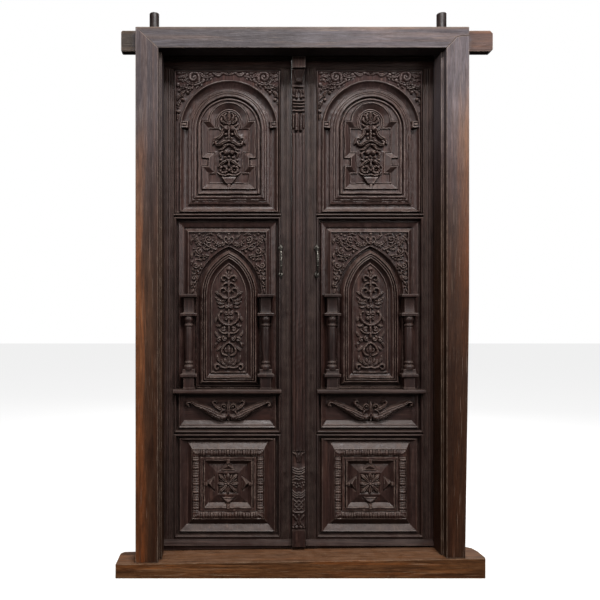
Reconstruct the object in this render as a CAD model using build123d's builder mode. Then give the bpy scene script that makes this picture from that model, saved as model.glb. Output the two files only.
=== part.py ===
from build123d import *
import os
from math import sqrt

os.makedirs("parts", exist_ok=True)

# ---------------------------------------------------------------------------
# Pair of carved door leaves in a timber frame.  Millimetres, +Z up, +X to the
# right as seen from the carved side, +Y into the building.  The origin lies on
# the underside of the threshold, midway between the jambs, in the plane of the
# front faces of the jambs.
# ---------------------------------------------------------------------------

# frame
JAMB_OUT = 668.0          # outer face of a jamb from the centre line
JAMB_IN = 577.0           # inner front arris of a jamb
STOP_IN = 567.0           # inner face behind the small step in the reveal
STEP_Y = 32.0             # depth of that step
JAMB_D = 118.0            # depth of a jamb
HEAD_Z0 = 2119.0          # underside of the lintel in front
HEAD_Z1 = 2204.0          # top of the lintel
HEAD_FRONT = 65.0         # depth of the front lip of the lintel
HEAD_D = 182.0            # full depth of the lintel
HEAD_REAR_Z = 2150.0      # underside of the lintel above the leaves
MITRE_D = 30.0            # depth of the mitred face
HORN_Y0, HORN_Y1 = 30.0, 62.0
HORN_L, HORN_R = -731.0, 776.0
SILL_L, SILL_R = -746.0, 732.0
SILL_Y0, SILL_Y1 = -10.0, 182.0
SILL_Z = 67.5             # top of the threshold on the centre line
SILL_SLOPE = 0.0155       # the threshold is thicker towards the right
TAPER_Z = 1110.0          # the waney outer edge of the right jamb starts here
TAPER = 17.0              # and is this far in at the foot

# pivots
AXIS_X, AXIS_Y = 610.0, 145.0
PIVOT_R = 20.5
PIVOT_TOP = 2331.0
FOOT_R = 17.5
FOOT_Z = 22.0
RUN = 0.4                 # radial clearance of a pivot in its hole

# leaves (drawn for the left hand, the right one is the mirror image)
C = -300.3                # middle of the carved panels
LEAF_Y0, LEAF_Y1 = 124.0, 166.0
REB_Y = 142.0             # floor of the rebate that takes panels and sticks
LEAF_TOP = 2146.0
LEAF_GAP = 4.0            # clearance over the threshold
HALF = 225.5              # half the sight width between the stiles
LIP = 200.0               # half the width between the rebate lips
MEET_LEFT = -30.0         # meeting edge of the left leaf
MEET_RIGHT = 26.5         # meeting edge of the right leaf, mirrored
HEEL_R = 21.0             # rounded heel of the hanging stile
TOP_RAIL_Z = 2088.0
BOTTOM_RAIL_Z = 115.0
STICK = 16.0              # width of a planted moulding
STICK_Y = 118.0           # crest of a planted moulding
PANEL_BACK = 158.0
FRIEZE = (1440.0, 1496.0)
LEDGE_RAIL = (706.0, 757.0)
LOWER = (524.0, 584.0)
UPPER_FRAME = (1470.0, 2088.0)
MIDDLE_FRAME = (741.0, 1466.0)
APRON_FRAME = (556.0, 722.0)
BOTTOM_FRAME = (115.0, 552.0)
LEDGE_Z = (722.0, 741.0)
LEDGE_Y = 92.0
TENON_Y0, TENON_Y1 = 146.0, 160.0
TENON_OUT = 70.0
TENON_IN = 30.0
PEG_R = 5.0

# carved panels
ARCH_Z = 1837.0           # springing of the round arch
ARCH_R = 206.0
ARCH_FOOT = 1487.0
POINT_Z = 1137.0          # springing of the pointed arch
POINT_W = 139.0
POINT_H = 207.0
POINT_FOOT = 745.0
SPANDREL = 164.0
COL_U = 161.0             # colonnettes from the middle of the panel
BLOCK = (193.0, 488.0)    # raised block of the bottom panel
BLOCK_W = 152.0
ROSETTE_Z = 341.0
HANDLE_X = -76.0
HANDLE_Z = (1222.0, 1336.0)


def front(y):
    """Upright work plane at depth y, its normal towards the viewer."""
    return Plane(origin=(0, y, 0), x_dir=(1, 0, 0), z_dir=(0, -1, 0))


def side(x):
    """Upright work plane at x, its normal along +X; local axes are Y and Z."""
    return Plane(origin=(x, 0, 0), x_dir=(0, 1, 0), z_dir=(1, 0, 0))


SILL_TOP = Plane(origin=(0, 0, SILL_Z), z_dir=(-SILL_SLOPE, 0, 1))
LEAF_FOOT = Plane(origin=(0, 0, SILL_Z + LEAF_GAP), z_dir=(-SILL_SLOPE, 0, 1))


def save(name, piece):
    piece.label = name
    export_step(piece, "parts/" + name + ".step")


def box_face(u0, u1, z0, z1):
    """Rectangle from its four limits."""
    with BuildSketch() as s:
        with BuildLine():
            Polyline((u0, z0), (u1, z0), (u1, z1), (u0, z1), close=True)
        make_face()
    return s.sketch


def poly_face(*points):
    with BuildSketch() as s:
        with BuildLine():
            Polyline(*points, close=True)
        make_face()
    return s.sketch


def round_arch(inset):
    """Round-headed outline, inset evenly from the outer ring."""
    w = ARCH_R - inset
    z0 = ARCH_FOOT + inset
    with BuildSketch() as s:
        with BuildLine():
            Line((C - w, z0), (C + w, z0))
            Line((C + w, z0), (C + w, ARCH_Z))
            ThreePointArc((C + w, ARCH_Z), (C, ARCH_Z + w), (C - w, ARCH_Z))
            Line((C - w, ARCH_Z), (C - w, z0))
        make_face()
    return s.sketch


def pointed_arch(inset):
    """Pointed outline of two arcs, inset evenly."""
    radius = (POINT_W**2 + POINT_H**2) / (2 * POINT_W)
    off = radius - POINT_W
    r = radius - inset
    w = POINT_W - inset
    z0 = POINT_FOOT + inset
    apex = POINT_Z + sqrt(r * r - off * off)
    half = (apex - POINT_Z) / 2
    u = sqrt(r * r - half * half) - off
    with BuildSketch() as s:
        with BuildLine():
            Line((C - w, z0), (C + w, z0))
            Line((C + w, z0), (C + w, POINT_Z))
            ThreePointArc((C + w, POINT_Z), (C + u, POINT_Z + half), (C, apex))
            ThreePointArc((C, apex), (C - u, POINT_Z + half), (C - w, POINT_Z))
            Line((C - w, POINT_Z), (C - w, z0))
        make_face()
    return s.sketch


def cartouche(inset):
    """Eared strap frame with a round head inside the upper arch."""
    w, z0, z1 = 112.0 - inset, 1584.0 + inset, 1871.0 - inset
    n0, n1, d = 1681.0 - inset, 1715.0 + inset, 27.0
    r = 78.0 - inset
    with BuildSketch() as s:
        with BuildLine():
            Polyline(
                (C - r, z1), (C - w, z1), (C - w, n1), (C - w + d, n1), (C - w + d, n0),
                (C - w, n0), (C - w, z0), (C + w, z0), (C + w, n0), (C + w - d, n0),
                (C + w - d, n1), (C + w, n1), (C + w, z1), (C + r, z1),
            )
            ThreePointArc((C + r, z1), (C, z1 + r), (C - r, z1))
        make_face()
    return s.sketch


# ---------------------------------------------------------------------------
# Frame
# ---------------------------------------------------------------------------

# threshold: one thick board, its top worn to a slope, with mortises for the
# jambs and sockets for the foot pivots of the leaves
with BuildPart() as threshold:
    with BuildSketch(Plane.XY):
        with BuildLine():
            Polyline(
                (SILL_L, SILL_Y0), (SILL_R - 4, SILL_Y0), (SILL_R, SILL_Y0 + 12),
                (SILL_R - 2, 70), (SILL_R - 12, 104), (SILL_R - 34, 120), (JAMB_OUT - 4, 122), (JAMB_OUT - 4, SILL_Y1),
                (-JAMB_OUT + 4, SILL_Y1), (-JAMB_OUT + 4, 122), (SILL_L + 14, 120), (SILL_L, 104),
                close=True,
            )
        make_face()
    extrude(amount=110)
    split(bisect_by=SILL_TOP, keep=Keep.BOTTOM)
    for sx in (-1, 1):
        with BuildSketch(Plane.XY.offset(FOOT_Z - 1)):
            with Locations((sx * AXIS_X, AXIS_Y)):
                Circle(FOOT_R + RUN)
        extrude(amount=100, mode=Mode.SUBTRACT)
        with BuildSketch(Plane.XY.offset(24)):
            with Locations((sx * 617, 75)):
                Rectangle(52, 44)
        extrude(amount=100, mode=Mode.SUBTRACT)
save("threshold", threshold.part)


def build_jamb(hand):
    """Jamb with a stepped reveal, a mitred head and a tenon at each end."""
    with BuildPart() as jamb:
        with BuildSketch(Plane.XY):
            with BuildLine():
                Polyline(
                    (-JAMB_OUT, 0), (-JAMB_IN, 0), (-JAMB_IN, STEP_Y), (-STOP_IN, STEP_Y),
                    (-STOP_IN, JAMB_D), (-JAMB_OUT, JAMB_D), close=True,
                )
            make_face()
        extrude(amount=HEAD_Z0)
        if hand == "left":
            with BuildSketch(front(MITRE_D)):
                add(poly_face((-JAMB_OUT, HEAD_Z0), (-JAMB_IN, HEAD_Z0), (-JAMB_OUT, HEAD_Z1)))
            extrude(amount=MITRE_D)
        else:
            with BuildSketch(front(MITRE_D)):
                add(poly_face((-JAMB_OUT, HEAD_Z0), (-JAMB_IN, HEAD_Z0), (-618, HEAD_Z0 + 43), (-632, HEAD_Z0 + 47), (-JAMB_OUT, HEAD_Z0 + 49)))
            extrude(amount=MITRE_D)
            with BuildSketch(front(JAMB_D)):
                add(poly_face((-JAMB_OUT, TAPER_Z), (-JAMB_OUT - 20, TAPER_Z), (-JAMB_OUT - 20, 0), (-JAMB_OUT + TAPER, 0)))
            extrude(amount=JAMB_D, mode=Mode.SUBTRACT)
    return jamb.part


# left jamb
with BuildPart() as left_jamb:
    add(build_jamb("left"))
    split(bisect_by=SILL_TOP, keep=Keep.TOP)
    with BuildSketch(Plane.XY.offset(25)):
        with Locations((-617, 75)):
            Rectangle(52, 44)
    extrude(amount=60)
    with BuildSketch(Plane.XY.offset(HEAD_Z0 - 5)):
        with Locations((-626, 90)):
            Rectangle(48, 30)
    extrude(amount=45)
    with BuildSketch(side(-JAMB_OUT)):
        with Locations((90, HEAD_Z0 + 22)):
            Circle(7.05)
    extrude(amount=70, mode=Mode.SUBTRACT)
save("left_jamb", left_jamb.part)

# right jamb
with BuildPart() as right_jamb:
    add(mirror(build_jamb("right"), about=Plane.YZ, mode=Mode.PRIVATE))
    split(bisect_by=SILL_TOP, keep=Keep.TOP)
    with BuildSketch(Plane.XY.offset(25)):
        with Locations((617, 75)):
            Rectangle(52, 44)
    extrude(amount=60)
    with BuildSketch(Plane.XY.offset(HEAD_Z0 - 5)):
        with Locations((626, 90)):
            Rectangle(48, 30)
    extrude(amount=45)
    with BuildSketch(side(JAMB_OUT)):
        with Locations((90, HEAD_Z0 + 22)):
            Circle(7.05)
    extrude(amount=-70, mode=Mode.SUBTRACT)
save("right_jamb", right_jamb.part)

# lintel: a mitred face in front, thin horns that run past the jambs, and a
# thinner rear part with the holes for the upper pivots
with BuildPart() as lintel:
    with BuildSketch(front(MITRE_D)):
        add(poly_face(
            (-JAMB_OUT, HEAD_Z1), (-JAMB_IN, HEAD_Z0), (JAMB_IN, HEAD_Z0), (618, HEAD_Z0 + 43),
            (632, HEAD_Z0 + 47), (JAMB_OUT, HEAD_Z0 + 49), (JAMB_OUT, HEAD_Z1),
        ))
    extrude(amount=MITRE_D)
    with BuildSketch(front(HORN_Y1)):
        with BuildLine():
            Polyline(
                (HORN_L, HEAD_Z0 + 4), (HORN_L + 4, HEAD_Z0), (HORN_R - 8, HEAD_Z0), (HORN_R, HEAD_Z0 + 8),
                (HORN_R, HEAD_Z1 - 10), (HORN_R - 10, HEAD_Z1), (HORN_L + 5, HEAD_Z1), (HORN_L, HEAD_Z1 - 5),
                close=True,
            )
        make_face()
    extrude(amount=HORN_Y1 - HORN_Y0)
    with BuildSketch(front(HEAD_D)):
        add(box_face(-JAMB_OUT, JAMB_OUT, HEAD_Z0, HEAD_Z1))
    extrude(amount=HEAD_D - HORN_Y1)
    with BuildSketch(Plane.XY.offset(HEAD_Z0)):
        with BuildLine():
            Polyline(
                (-STOP_IN, HEAD_FRONT), (STOP_IN, HEAD_FRONT), (STOP_IN, JAMB_D), (642, JAMB_D), (642, HEAD_D + 5),
                (-642, HEAD_D + 5), (-642, JAMB_D), (-STOP_IN, JAMB_D), close=True,
            )
        make_face()
    extrude(amount=HEAD_REAR_Z - HEAD_Z0, mode=Mode.SUBTRACT)
    for sx in (-1, 1):
        with BuildSketch(Plane.XY.offset(HEAD_Z0)):
            with Locations((sx * AXIS_X, AXIS_Y)):
                Circle(PIVOT_R + RUN)
        extrude(amount=120, mode=Mode.SUBTRACT)
        with BuildSketch(Plane.XY.offset(HEAD_Z0)):
            with Locations((sx * 626, 90)):
                Rectangle(48, 30)
        extrude(amount=41, mode=Mode.SUBTRACT)
        with BuildSketch(side(sx * JAMB_OUT)):
            with Locations((90, HEAD_Z0 + 22)):
                Circle(7.05)
        extrude(amount=-sx * 30, mode=Mode.SUBTRACT)
save("lintel", lintel.part)

# pegs that pin the jamb tenons in the lintel
with BuildPart() as frame_pegs:
    for sx in (-1, 1):
        with BuildSketch(side(sx * JAMB_OUT)):
            with Locations((90, HEAD_Z0 + 22)):
                Circle(7.0)
        extrude(amount=-sx * 62)
save("frame_pegs", frame_pegs.part)


# ---------------------------------------------------------------------------
# Leaves
# ---------------------------------------------------------------------------

TENONS = {
    "top_rail": (2096.0, 2138.0),
    "frieze_rail": (1450.0, 1486.0),
    "ledge_rail": (714.0, 749.0),
    "lower_rail": (536.0, 572.0),
    "bottom_rail": (88.0, 110.0),
}
TENON_ENDS = (C - LIP - TENON_OUT, C + LIP + TENON_IN + 14)
PEG_AT = (C - HALF - 22, C + HALF + 10)


def build_sticks(z0, z1, top, bottom, notch):
    """Planted mouldings round a panel: a torus and a quirk, mitred at the corners."""
    w = HALF - 0.3
    zt = z1 if top else z1 + 60
    zb = z0 if bottom else z0 - 60
    with BuildPart() as sticks:
        with BuildSketch(front(REB_Y)):
            add(box_face(C - w, C + w, zb, zt))
            add(box_face(C - w + STICK, C + w - STICK, zb + STICK, zt - STICK), mode=Mode.SUBTRACT)
        extrude(amount=REB_Y - STICK_Y - 6)
        with BuildSketch(front(STICK_Y + 6)):
            add(box_face(C - w, C + w, zb, zt))
            add(box_face(C - w + 10, C + w - 10, zb + 10, zt - 10), mode=Mode.SUBTRACT)
        extrude(amount=6)
        crest = [e for e in sticks.edges() if abs(e.center().Y - STICK_Y) < 0.01]
        fillet(crest, radius=4.6)
        # hairline mitres keep the sticks apart
        for su in (-1, 1):
            for z, sz in ((zb, 1), (zt, -1)):
                a, b = C + su * (w + 2), C + su * (w - STICK - 2)
                za, zc = z - sz * 2, z + sz * (STICK + 2)
                with BuildSketch(front(REB_Y + 2)):
                    add(poly_face((a - 0.2, za), (a + 0.2, za), (b + 0.2, zc), (b - 0.2, zc)))
                extrude(amount=40, mode=Mode.SUBTRACT)
        if not top:
            with BuildSketch(front(REB_Y + 2)):
                add(box_face(C - 260, C + 260, z1, z1 + 100))
            extrude(amount=50, mode=Mode.SUBTRACT)
        if not bottom:
            with BuildSketch(front(REB_Y + 2)):
                add(box_face(C - 260, C + 260, z0 - 100, z0))
            extrude(amount=50, mode=Mode.SUBTRACT)
        if notch:
            # seats for the two end plates of the pull
            for z in HANDLE_Z:
                with BuildSketch(front(LEAF_Y0)):
                    add(box_face(HANDLE_X - 15.4, HANDLE_X + 15.4, z - 17.4, z + 17.4))
                extrude(amount=20, mode=Mode.SUBTRACT)
    return sticks.part


def build_plank(z0, z1, back0, back1):
    """Blank of a panel: a rim that lies on the rebate and a thicker middle behind it."""
    w = HALF - STICK - 0.5
    with BuildPart() as plank:
        with BuildSketch(front(REB_Y)):
            add(box_face(C - w, C + w, z0, z1))
        extrude(amount=REB_Y - 136)
        with BuildSketch(front(PANEL_BACK)):
            add(box_face(C - LIP + 0.5, C + LIP - 0.5, back0 + 0.5, back1 - 0.5))
        extrude(amount=PANEL_BACK - REB_Y)
    return plank.part


def build_colonnette(u):
    """Turned half column with square blocks, standing on the ledge."""
    x = C + u
    with BuildPart() as column:
        y0 = 136.0
        mid = 114.0
        for half, z0, z1, y1 in (
            (21, 741, 783, 98), (29, 783, 804, 95), (34.5, 804, 830, 92), (19.4, 1070, 1121, 99),
            (34.5, 1049, 1070, 92), (34.5, 1121, 1136.6, 92),
        ):
            with BuildSketch(front(y0)):
                add(box_face(x - half, x + half, z0, z1))
            extrude(amount=y0 - y1)
        with BuildSketch(front(y0)):
            add(box_face(x - 11, x + 11, 820, 1060))
        extrude(amount=y0 - mid)
        with BuildSketch(Plane.XZ.offset(-mid)):
            with BuildLine():
                Polyline(
                    (x, 828), (x + 17, 828), (x + 17, 838), (x + 19, 843), (x + 19, 853), (x + 15, 859),
                    (x + 14, 998), (x + 16, 1002), (x + 16, 1010), (x + 19, 1016), (x + 19, 1026), (x + 17, 1031),
                    (x + 17, 1051), (x, 1051), close=True,
                )
            make_face()
        revolve(axis=Axis((x, mid, 0), (0, 0, 1)), revolution_arc=360)
    return column.part


def build_leaf(hand):
    meet = MEET_LEFT if hand == "left" else MEET_RIGHT
    foot = LEAF_FOOT if hand == "left" else Plane(origin=(0, 0, SILL_Z + LEAF_GAP), z_dir=(SILL_SLOPE, 0, 1))
    turn = (lambda p: p) if hand == "left" else (lambda p: mirror(p, about=Plane.YZ, mode=Mode.PRIVATE))

    def put(name, part):
        save(hand + "_" + name, turn(part))

    # hanging stile with its rounded heel and both pivots
    with BuildPart() as pivot_stile:
        with BuildSketch(Plane.XY.offset(40)):
            add(box_face(-AXIS_X, C - HALF, LEAF_Y0, LEAF_Y1))
            with Locations((-AXIS_X, AXIS_Y)):
                Circle(HEEL_R)
        extrude(amount=LEAF_TOP - 40)
        split(bisect_by=foot, keep=Keep.TOP)
        with BuildSketch(Plane.XY.offset(BOTTOM_RAIL_Z)):
            add(box_face(C - HALF, C - LIP, REB_Y, LEAF_Y1))
        extrude(amount=TOP_RAIL_Z - BOTTOM_RAIL_Z)
        with BuildSketch(Plane.XY.offset(LEAF_TOP - 5)):
            with Locations((-AXIS_X, AXIS_Y)):
                Circle(PIVOT_R)
        extrude(amount=PIVOT_TOP - LEAF_TOP + 5)
        with BuildSketch(Plane.XY.offset(FOOT_Z)):
            with Locations((-AXIS_X, AXIS_Y)):
                Circle(FOOT_R)
        extrude(amount=70)
        for z0, z1 in TENONS.values():
            with BuildSketch(front(TENON_Y1)):
                add(box_face(TENON_ENDS[0], C - LIP + 1, z0, z1))
            extrude(amount=TENON_Y1 - TENON_Y0, mode=Mode.SUBTRACT)
            with BuildSketch(front(LEAF_Y1)):
                with Locations((PEG_AT[0], (z0 + z1) / 2)):
                    Circle(PEG_R + 0.05)
            extrude(amount=32, mode=Mode.SUBTRACT)
    put("pivot_stile", pivot_stile.part)

    # meeting stile
    with BuildPart() as meeting_stile:
        with BuildSketch(Plane.XY.offset(40)):
            add(box_face(C + HALF, meet, LEAF_Y0, LEAF_Y1))
        extrude(amount=LEAF_TOP - 40)
        split(bisect_by=foot, keep=Keep.TOP)
        with BuildSketch(Plane.XY.offset(BOTTOM_RAIL_Z)):
            add(box_face(C + LIP, C + HALF, REB_Y, LEAF_Y1))
        extrude(amount=TOP_RAIL_Z - BOTTOM_RAIL_Z)
        for z0, z1 in TENONS.values():
            with BuildSketch(front(TENON_Y1)):
                add(box_face(C + LIP - 1, TENON_ENDS[1], z0, z1))
            extrude(amount=TENON_Y1 - TENON_Y0, mode=Mode.SUBTRACT)
            with BuildSketch(front(LEAF_Y1)):
                with Locations((PEG_AT[1], (z0 + z1) / 2)):
                    Circle(PEG_R + 0.05)
            extrude(amount=32, mode=Mode.SUBTRACT)
    put("meeting_stile", meeting_stile.part)

    # rails: full thickness at top and bottom, thinner behind the mouldings
    for name, body, lip in (
        ("top_rail", (TOP_RAIL_Z, LEAF_TOP), (2062.0, TOP_RAIL_Z)),
        ("frieze_rail", None, FRIEZE),
        ("ledge_rail", None, LEDGE_RAIL),
        ("lower_rail", None, LOWER),
        ("bottom_rail", (40.0, BOTTOM_RAIL_Z), (BOTTOM_RAIL_Z, 141.0)),
    ):
        with BuildPart() as rail:
            if body:
                with BuildSketch(front(LEAF_Y1)):
                    add(box_face(C - HALF, C + HALF, body[0], body[1]))
                extrude(amount=LEAF_Y1 - LEAF_Y0)
            with BuildSketch(front(LEAF_Y1)):
                add(box_face(C - LIP, C + LIP, lip[0], lip[1]))
            extrude(amount=LEAF_Y1 - REB_Y)
            with BuildSketch(front(TENON_Y1)):
                add(box_face(TENON_ENDS[0], TENON_ENDS[1], TENONS[name][0], TENONS[name][1]))
            extrude(amount=TENON_Y1 - TENON_Y0)
            if name == "bottom_rail":
                split(bisect_by=foot, keep=Keep.TOP)
            for px in PEG_AT:
                with BuildSketch(front(LEAF_Y1)):
                    with Locations((px, (TENONS[name][0] + TENONS[name][1]) / 2)):
                        Circle(PEG_R + 0.05)
                extrude(amount=32, mode=Mode.SUBTRACT)
        put(name, rail.part)

    # pegs that pin the rails in the stiles, driven from behind
    with BuildPart() as leaf_pegs:
        for z0, z1 in TENONS.values():
            for px in PEG_AT:
                with BuildSketch(front(LEAF_Y1)):
                    with Locations((px, (z0 + z1) / 2)):
                        Circle(PEG_R)
                extrude(amount=30)
    put("leaf_pegs", leaf_pegs.part)

    # planted mouldings
    put("upper_moulding", build_sticks(UPPER_FRAME[0], UPPER_FRAME[1] - 0.3, True, True, False))
    put("middle_moulding", build_sticks(MIDDLE_FRAME[0] + 0.3, MIDDLE_FRAME[1], True, False, True))
    put("apron_moulding", build_sticks(APRON_FRAME[0], APRON_FRAME[1] - 0.3, False, True, False))
    put("bottom_moulding", build_sticks(BOTTOM_FRAME[0] + 0.3, BOTTOM_FRAME[1], True, True, False))

    # upper panel: spandrels over a round arch of nested mouldings, with an
    # eared strap frame in the middle
    with BuildPart() as upper_panel:
        add(build_plank(1486.5, 2071.2, FRIEZE[1], 2062))
        w = HALF - STICK - 0.5
        with BuildSketch(front(136)):
            add(box_face(C - w, C + w, 1486.5, 2071.2))
            add(round_arch(4), mode=Mode.SUBTRACT)
        extrude(amount=14)
        with BuildSketch(front(122)):
            add(round_arch(0))
            add(round_arch(4), mode=Mode.SUBTRACT)
        extrude(amount=4)
        with BuildSketch(front(136)):
            add(round_arch(29))
            add(round_arch(69), mode=Mode.SUBTRACT)
        extrude(amount=9)
        with BuildSketch(front(127)):
            add(round_arch(35))
            add(round_arch(63), mode=Mode.SUBTRACT)
        extrude(amount=7)
        with BuildSketch(front(136)):
            add(round_arch(73))
        extrude(amount=8)
        with BuildSketch(front(128)):
            add(round_arch(80))
            add(round_arch(88), mode=Mode.SUBTRACT)
        extrude(amount=4)
        with BuildSketch(front(128)):
            add(cartouche(0))
            add(cartouche(24), mode=Mode.SUBTRACT)
        extrude(amount=6)
        with BuildSketch(front(136)):
            add(cartouche(30))
        extrude(amount=20, mode=Mode.SUBTRACT)
        # flower stem on its little pedestal
        with BuildSketch(front(136)):
            add(poly_face((C - 15, 1610), (C + 15, 1610), (C + 32, 1635), (C - 32, 1635)))
            add(box_face(C - 8, C + 8, 1584, 1612))
            add(box_face(C - 9, C + 9, 1630, 1880))
            with Locations((C - 30, 1680), (C + 30, 1680), (C - 22, 1780), (C + 22, 1780), (C, 1880)):
                Circle(17)
        extrude(amount=14)
        # impost blocks
        for su in (-1, 1):
            with BuildSketch(front(136)):
                add(box_face(C + su * 190 - 10, C + su * 190 + 10, 1842, 1871))
            extrude(amount=20)
    put("upper_panel", upper_panel.part)

    # middle panel: carved spandrels over a pointed arch of nested mouldings
    with BuildPart() as middle_panel:
        add(build_plank(741.5, 1449.2, LEDGE_RAIL[1], FRIEZE[0]))
        with BuildSketch(front(136)):
            add(box_face(C - w, C + w, 741.5, 1449.2))
            add(box_face(C - 196, C + 196, 730, 1436), mode=Mode.SUBTRACT)
        extrude(amount=12)
        with BuildSketch(front(136)):
            add(box_face(C - SPANDREL, C + SPANDREL, POINT_Z, 1407))
            add(pointed_arch(0), mode=Mode.SUBTRACT)
        extrude(amount=12)
        for t0, t1, h in ((13, 29, 12), (31, 38, 11), (40, 46, 10)):
            with BuildSketch(front(136)):
                add(pointed_arch(t0))
                add(pointed_arch(t1), mode=Mode.SUBTRACT)
            extrude(amount=h)
        with BuildSketch(front(136)):
            add(pointed_arch(63))
        extrude(amount=5)
        with BuildSketch(front(131)):
            add(pointed_arch(63))
            add(pointed_arch(68), mode=Mode.SUBTRACT)
        extrude(amount=4)
        # stem of the carved candelabrum
        with BuildSketch(front(131)):
            add(box_face(C - 7, C + 7, 822, 1240))
            with Locations((C - 26, 870), (C + 26, 870), (C - 28, 1060), (C + 28, 1060), (C - 22, 1165), (C + 22, 1165)):
                Circle(20)
        extrude(amount=8)
    put("middle_panel", middle_panel.part)

    # apron panel under the ledge
    with BuildPart() as apron_panel:
        add(build_plank(572.5, 721.5, LOWER[1], LEDGE_RAIL[0]))
        with BuildSketch(front(136)):
            add(box_face(C - w, C + w, 572.5, 721.5))
            add(box_face(C - 192, C + 192, 604, 740), mode=Mode.SUBTRACT)
        extrude(amount=10)
    put("apron_panel", apron_panel.part)

    # carved apron, a pair of spread leaves planted under the ledge
    with BuildPart() as apron_carving:
        with BuildSketch(front(136)):
            with BuildLine():
                Spline(
                    (C - 183, 690), (C - 150, 660), (C - 110, 640), (C - 60, 608), (C - 26, 612), (C, 622),
                    (C + 26, 612), (C + 60, 608), (C + 110, 640), (C + 150, 660), (C + 183, 690),
                )
                Spline((C + 183, 690), (C + 110, 680), (C, 688), (C - 110, 680), (C - 183, 690))
            make_face()
        extrude(amount=24)
    put("apron_carving", apron_carving.part)

    # bottom panel: raised block with a ribbed border, stepped square and rosette
    with BuildPart() as bottom_panel:
        add(build_plank(131.8, 535.2, 141, LOWER[0]))
        with BuildSketch(front(136)):
            add(box_face(C - w, C + w, 131.8, 535.2))
            add(box_face(C - 190, C + 190, 150, 520), mode=Mode.SUBTRACT)
        extrude(amount=12)
        zc = (BLOCK[0] + BLOCK[1]) / 2
        zh = (BLOCK[1] - BLOCK[0]) / 2
        with BuildSketch(front(136)):
            add(box_face(C - BLOCK_W, C + BLOCK_W, BLOCK[0], BLOCK[1]))
        extrude(amount=18)
        with BuildSketch(front(118)):
            add(box_face(C - BLOCK_W, C + BLOCK_W, BLOCK[0], BLOCK[1]))
            add(box_face(C - BLOCK_W + 29, C + BLOCK_W - 29, BLOCK[0] + 29, BLOCK[1] - 29), mode=Mode.SUBTRACT)
        extrude(amount=6)
        crest = [e for e in bottom_panel.edges() if abs(e.center().Y - 112) < 0.01]
        chamfer(crest, length=5)
        with BuildSketch(front(118)):
            add(box_face(C - 86, C + 86, zc - 86, zc + 86))
        extrude(amount=-12, mode=Mode.SUBTRACT)
        with BuildSketch(front(130)):
            with Locations((C, ROSETTE_Z)):
                Circle(40)
        extrude(amount=9)
        with BuildSketch(front(121)):
            with Locations((C, ROSETTE_Z)):
                Circle(12)
        extrude(amount=6)
    put("bottom_panel", bottom_panel.part)

    # moulded ledge that carries the colonnettes
    with BuildPart() as ledge:
        with BuildSketch(side(C - HALF + 0.5)):
            with BuildLine():
                Polyline(
                    (REB_Y, LEDGE_Z[0]), (LEDGE_Y + 12, LEDGE_Z[0]), (LEDGE_Y + 6, LEDGE_Z[0] + 6),
                    (LEDGE_Y, LEDGE_Z[0] + 8), (LEDGE_Y, LEDGE_Z[1] - 3), (LEDGE_Y + 3, LEDGE_Z[1]),
                    (REB_Y, LEDGE_Z[1]), close=True,
                )
            make_face()
        extrude(amount=2 * HALF - 1)
    put("ledge", ledge.part)

    # colonnettes either side of the pointed arch
    with BuildPart() as outer_colonnette:
        add(build_colonnette(-COL_U))
    put("outer_colonnette", outer_colonnette.part)

    with BuildPart() as inner_colonnette:
        add(build_colonnette(COL_U))
    put("inner_colonnette", inner_colonnette.part)

    # cast pull: two leaf-shaped end plates and a bowed grip
    with BuildPart() as pull_handle:
        for z in HANDLE_Z:
            with BuildSketch(front(LEAF_Y0)):
                with Locations((HANDLE_X, z)):
                    Ellipse(15, 17)
            extrude(amount=4)
        z0, z1 = HANDLE_Z
        with BuildLine() as path:
            Spline(
                (HANDLE_X, LEAF_Y0 - 2, z0 + 4), (HANDLE_X, LEAF_Y0 - 24, z0 + 16), (HANDLE_X, LEAF_Y0 - 33, (z0 + z1) / 2),
                (HANDLE_X, LEAF_Y0 - 24, z1 - 16), (HANDLE_X, LEAF_Y0 - 2, z1 - 4),
                tangents=((0, -1, 0.1), (0, 1, 0.1)),
            )
        with BuildSketch(Plane(origin=path.line @ 0, z_dir=path.line % 0)):
            Circle(5)
        sweep(path=path.line)
        for z, s in ((z0, -1), (z1, 1)):
            with BuildSketch(front(LEAF_Y0)):
                with Locations((HANDLE_X, z + s * 9)):
                    Circle(2.05)
            extrude(amount=10, mode=Mode.SUBTRACT)
    put("pull_handle", pull_handle.part)

    # nails that hold the pull
    with BuildPart() as pull_nails:
        for z, s in ((HANDLE_Z[0], -1), (HANDLE_Z[1], 1)):
            with BuildSketch(front(LEAF_Y0)):
                with Locations((HANDLE_X, z + s * 9)):
                    Circle(2.0)
            extrude(amount=4)
            with BuildSketch(front(LEAF_Y0 - 4)):
                with Locations((HANDLE_X, z + s * 9)):
                    Circle(3.6)
            extrude(amount=1.6)
    put("pull_nails", pull_nails.part)


build_leaf("left")
build_leaf("right")

# cover strip on the meeting stile of the right leaf, with a capital and a foot
with BuildPart() as cover_strip:
    with BuildSketch(front(LEAF_Y0)):
        add(box_face(-26.3, 26.3, 84, 132))
        add(box_face(-26.3, 26.3, 2040, 2132))
    extrude(amount=28)
    with BuildSketch(front(LEAF_Y0)):
        add(box_face(-26.3, 26.3, 132, 480))
        add(box_face(-26.3, 26.3, 1820, 2040))
    extrude(amount=24)
    with BuildSketch(front(LEAF_Y0)):
        add(box_face(-26.3, 26.3, 480, 1820))
    extrude(amount=16)
    for x in (-13, 13):
        with BuildSketch(front(LEAF_Y0 - 16)):
            add(box_face(x - 9, x + 9, 480, 1820))
        extrude(amount=8)
save("right_cover_strip", cover_strip.part)
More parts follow.
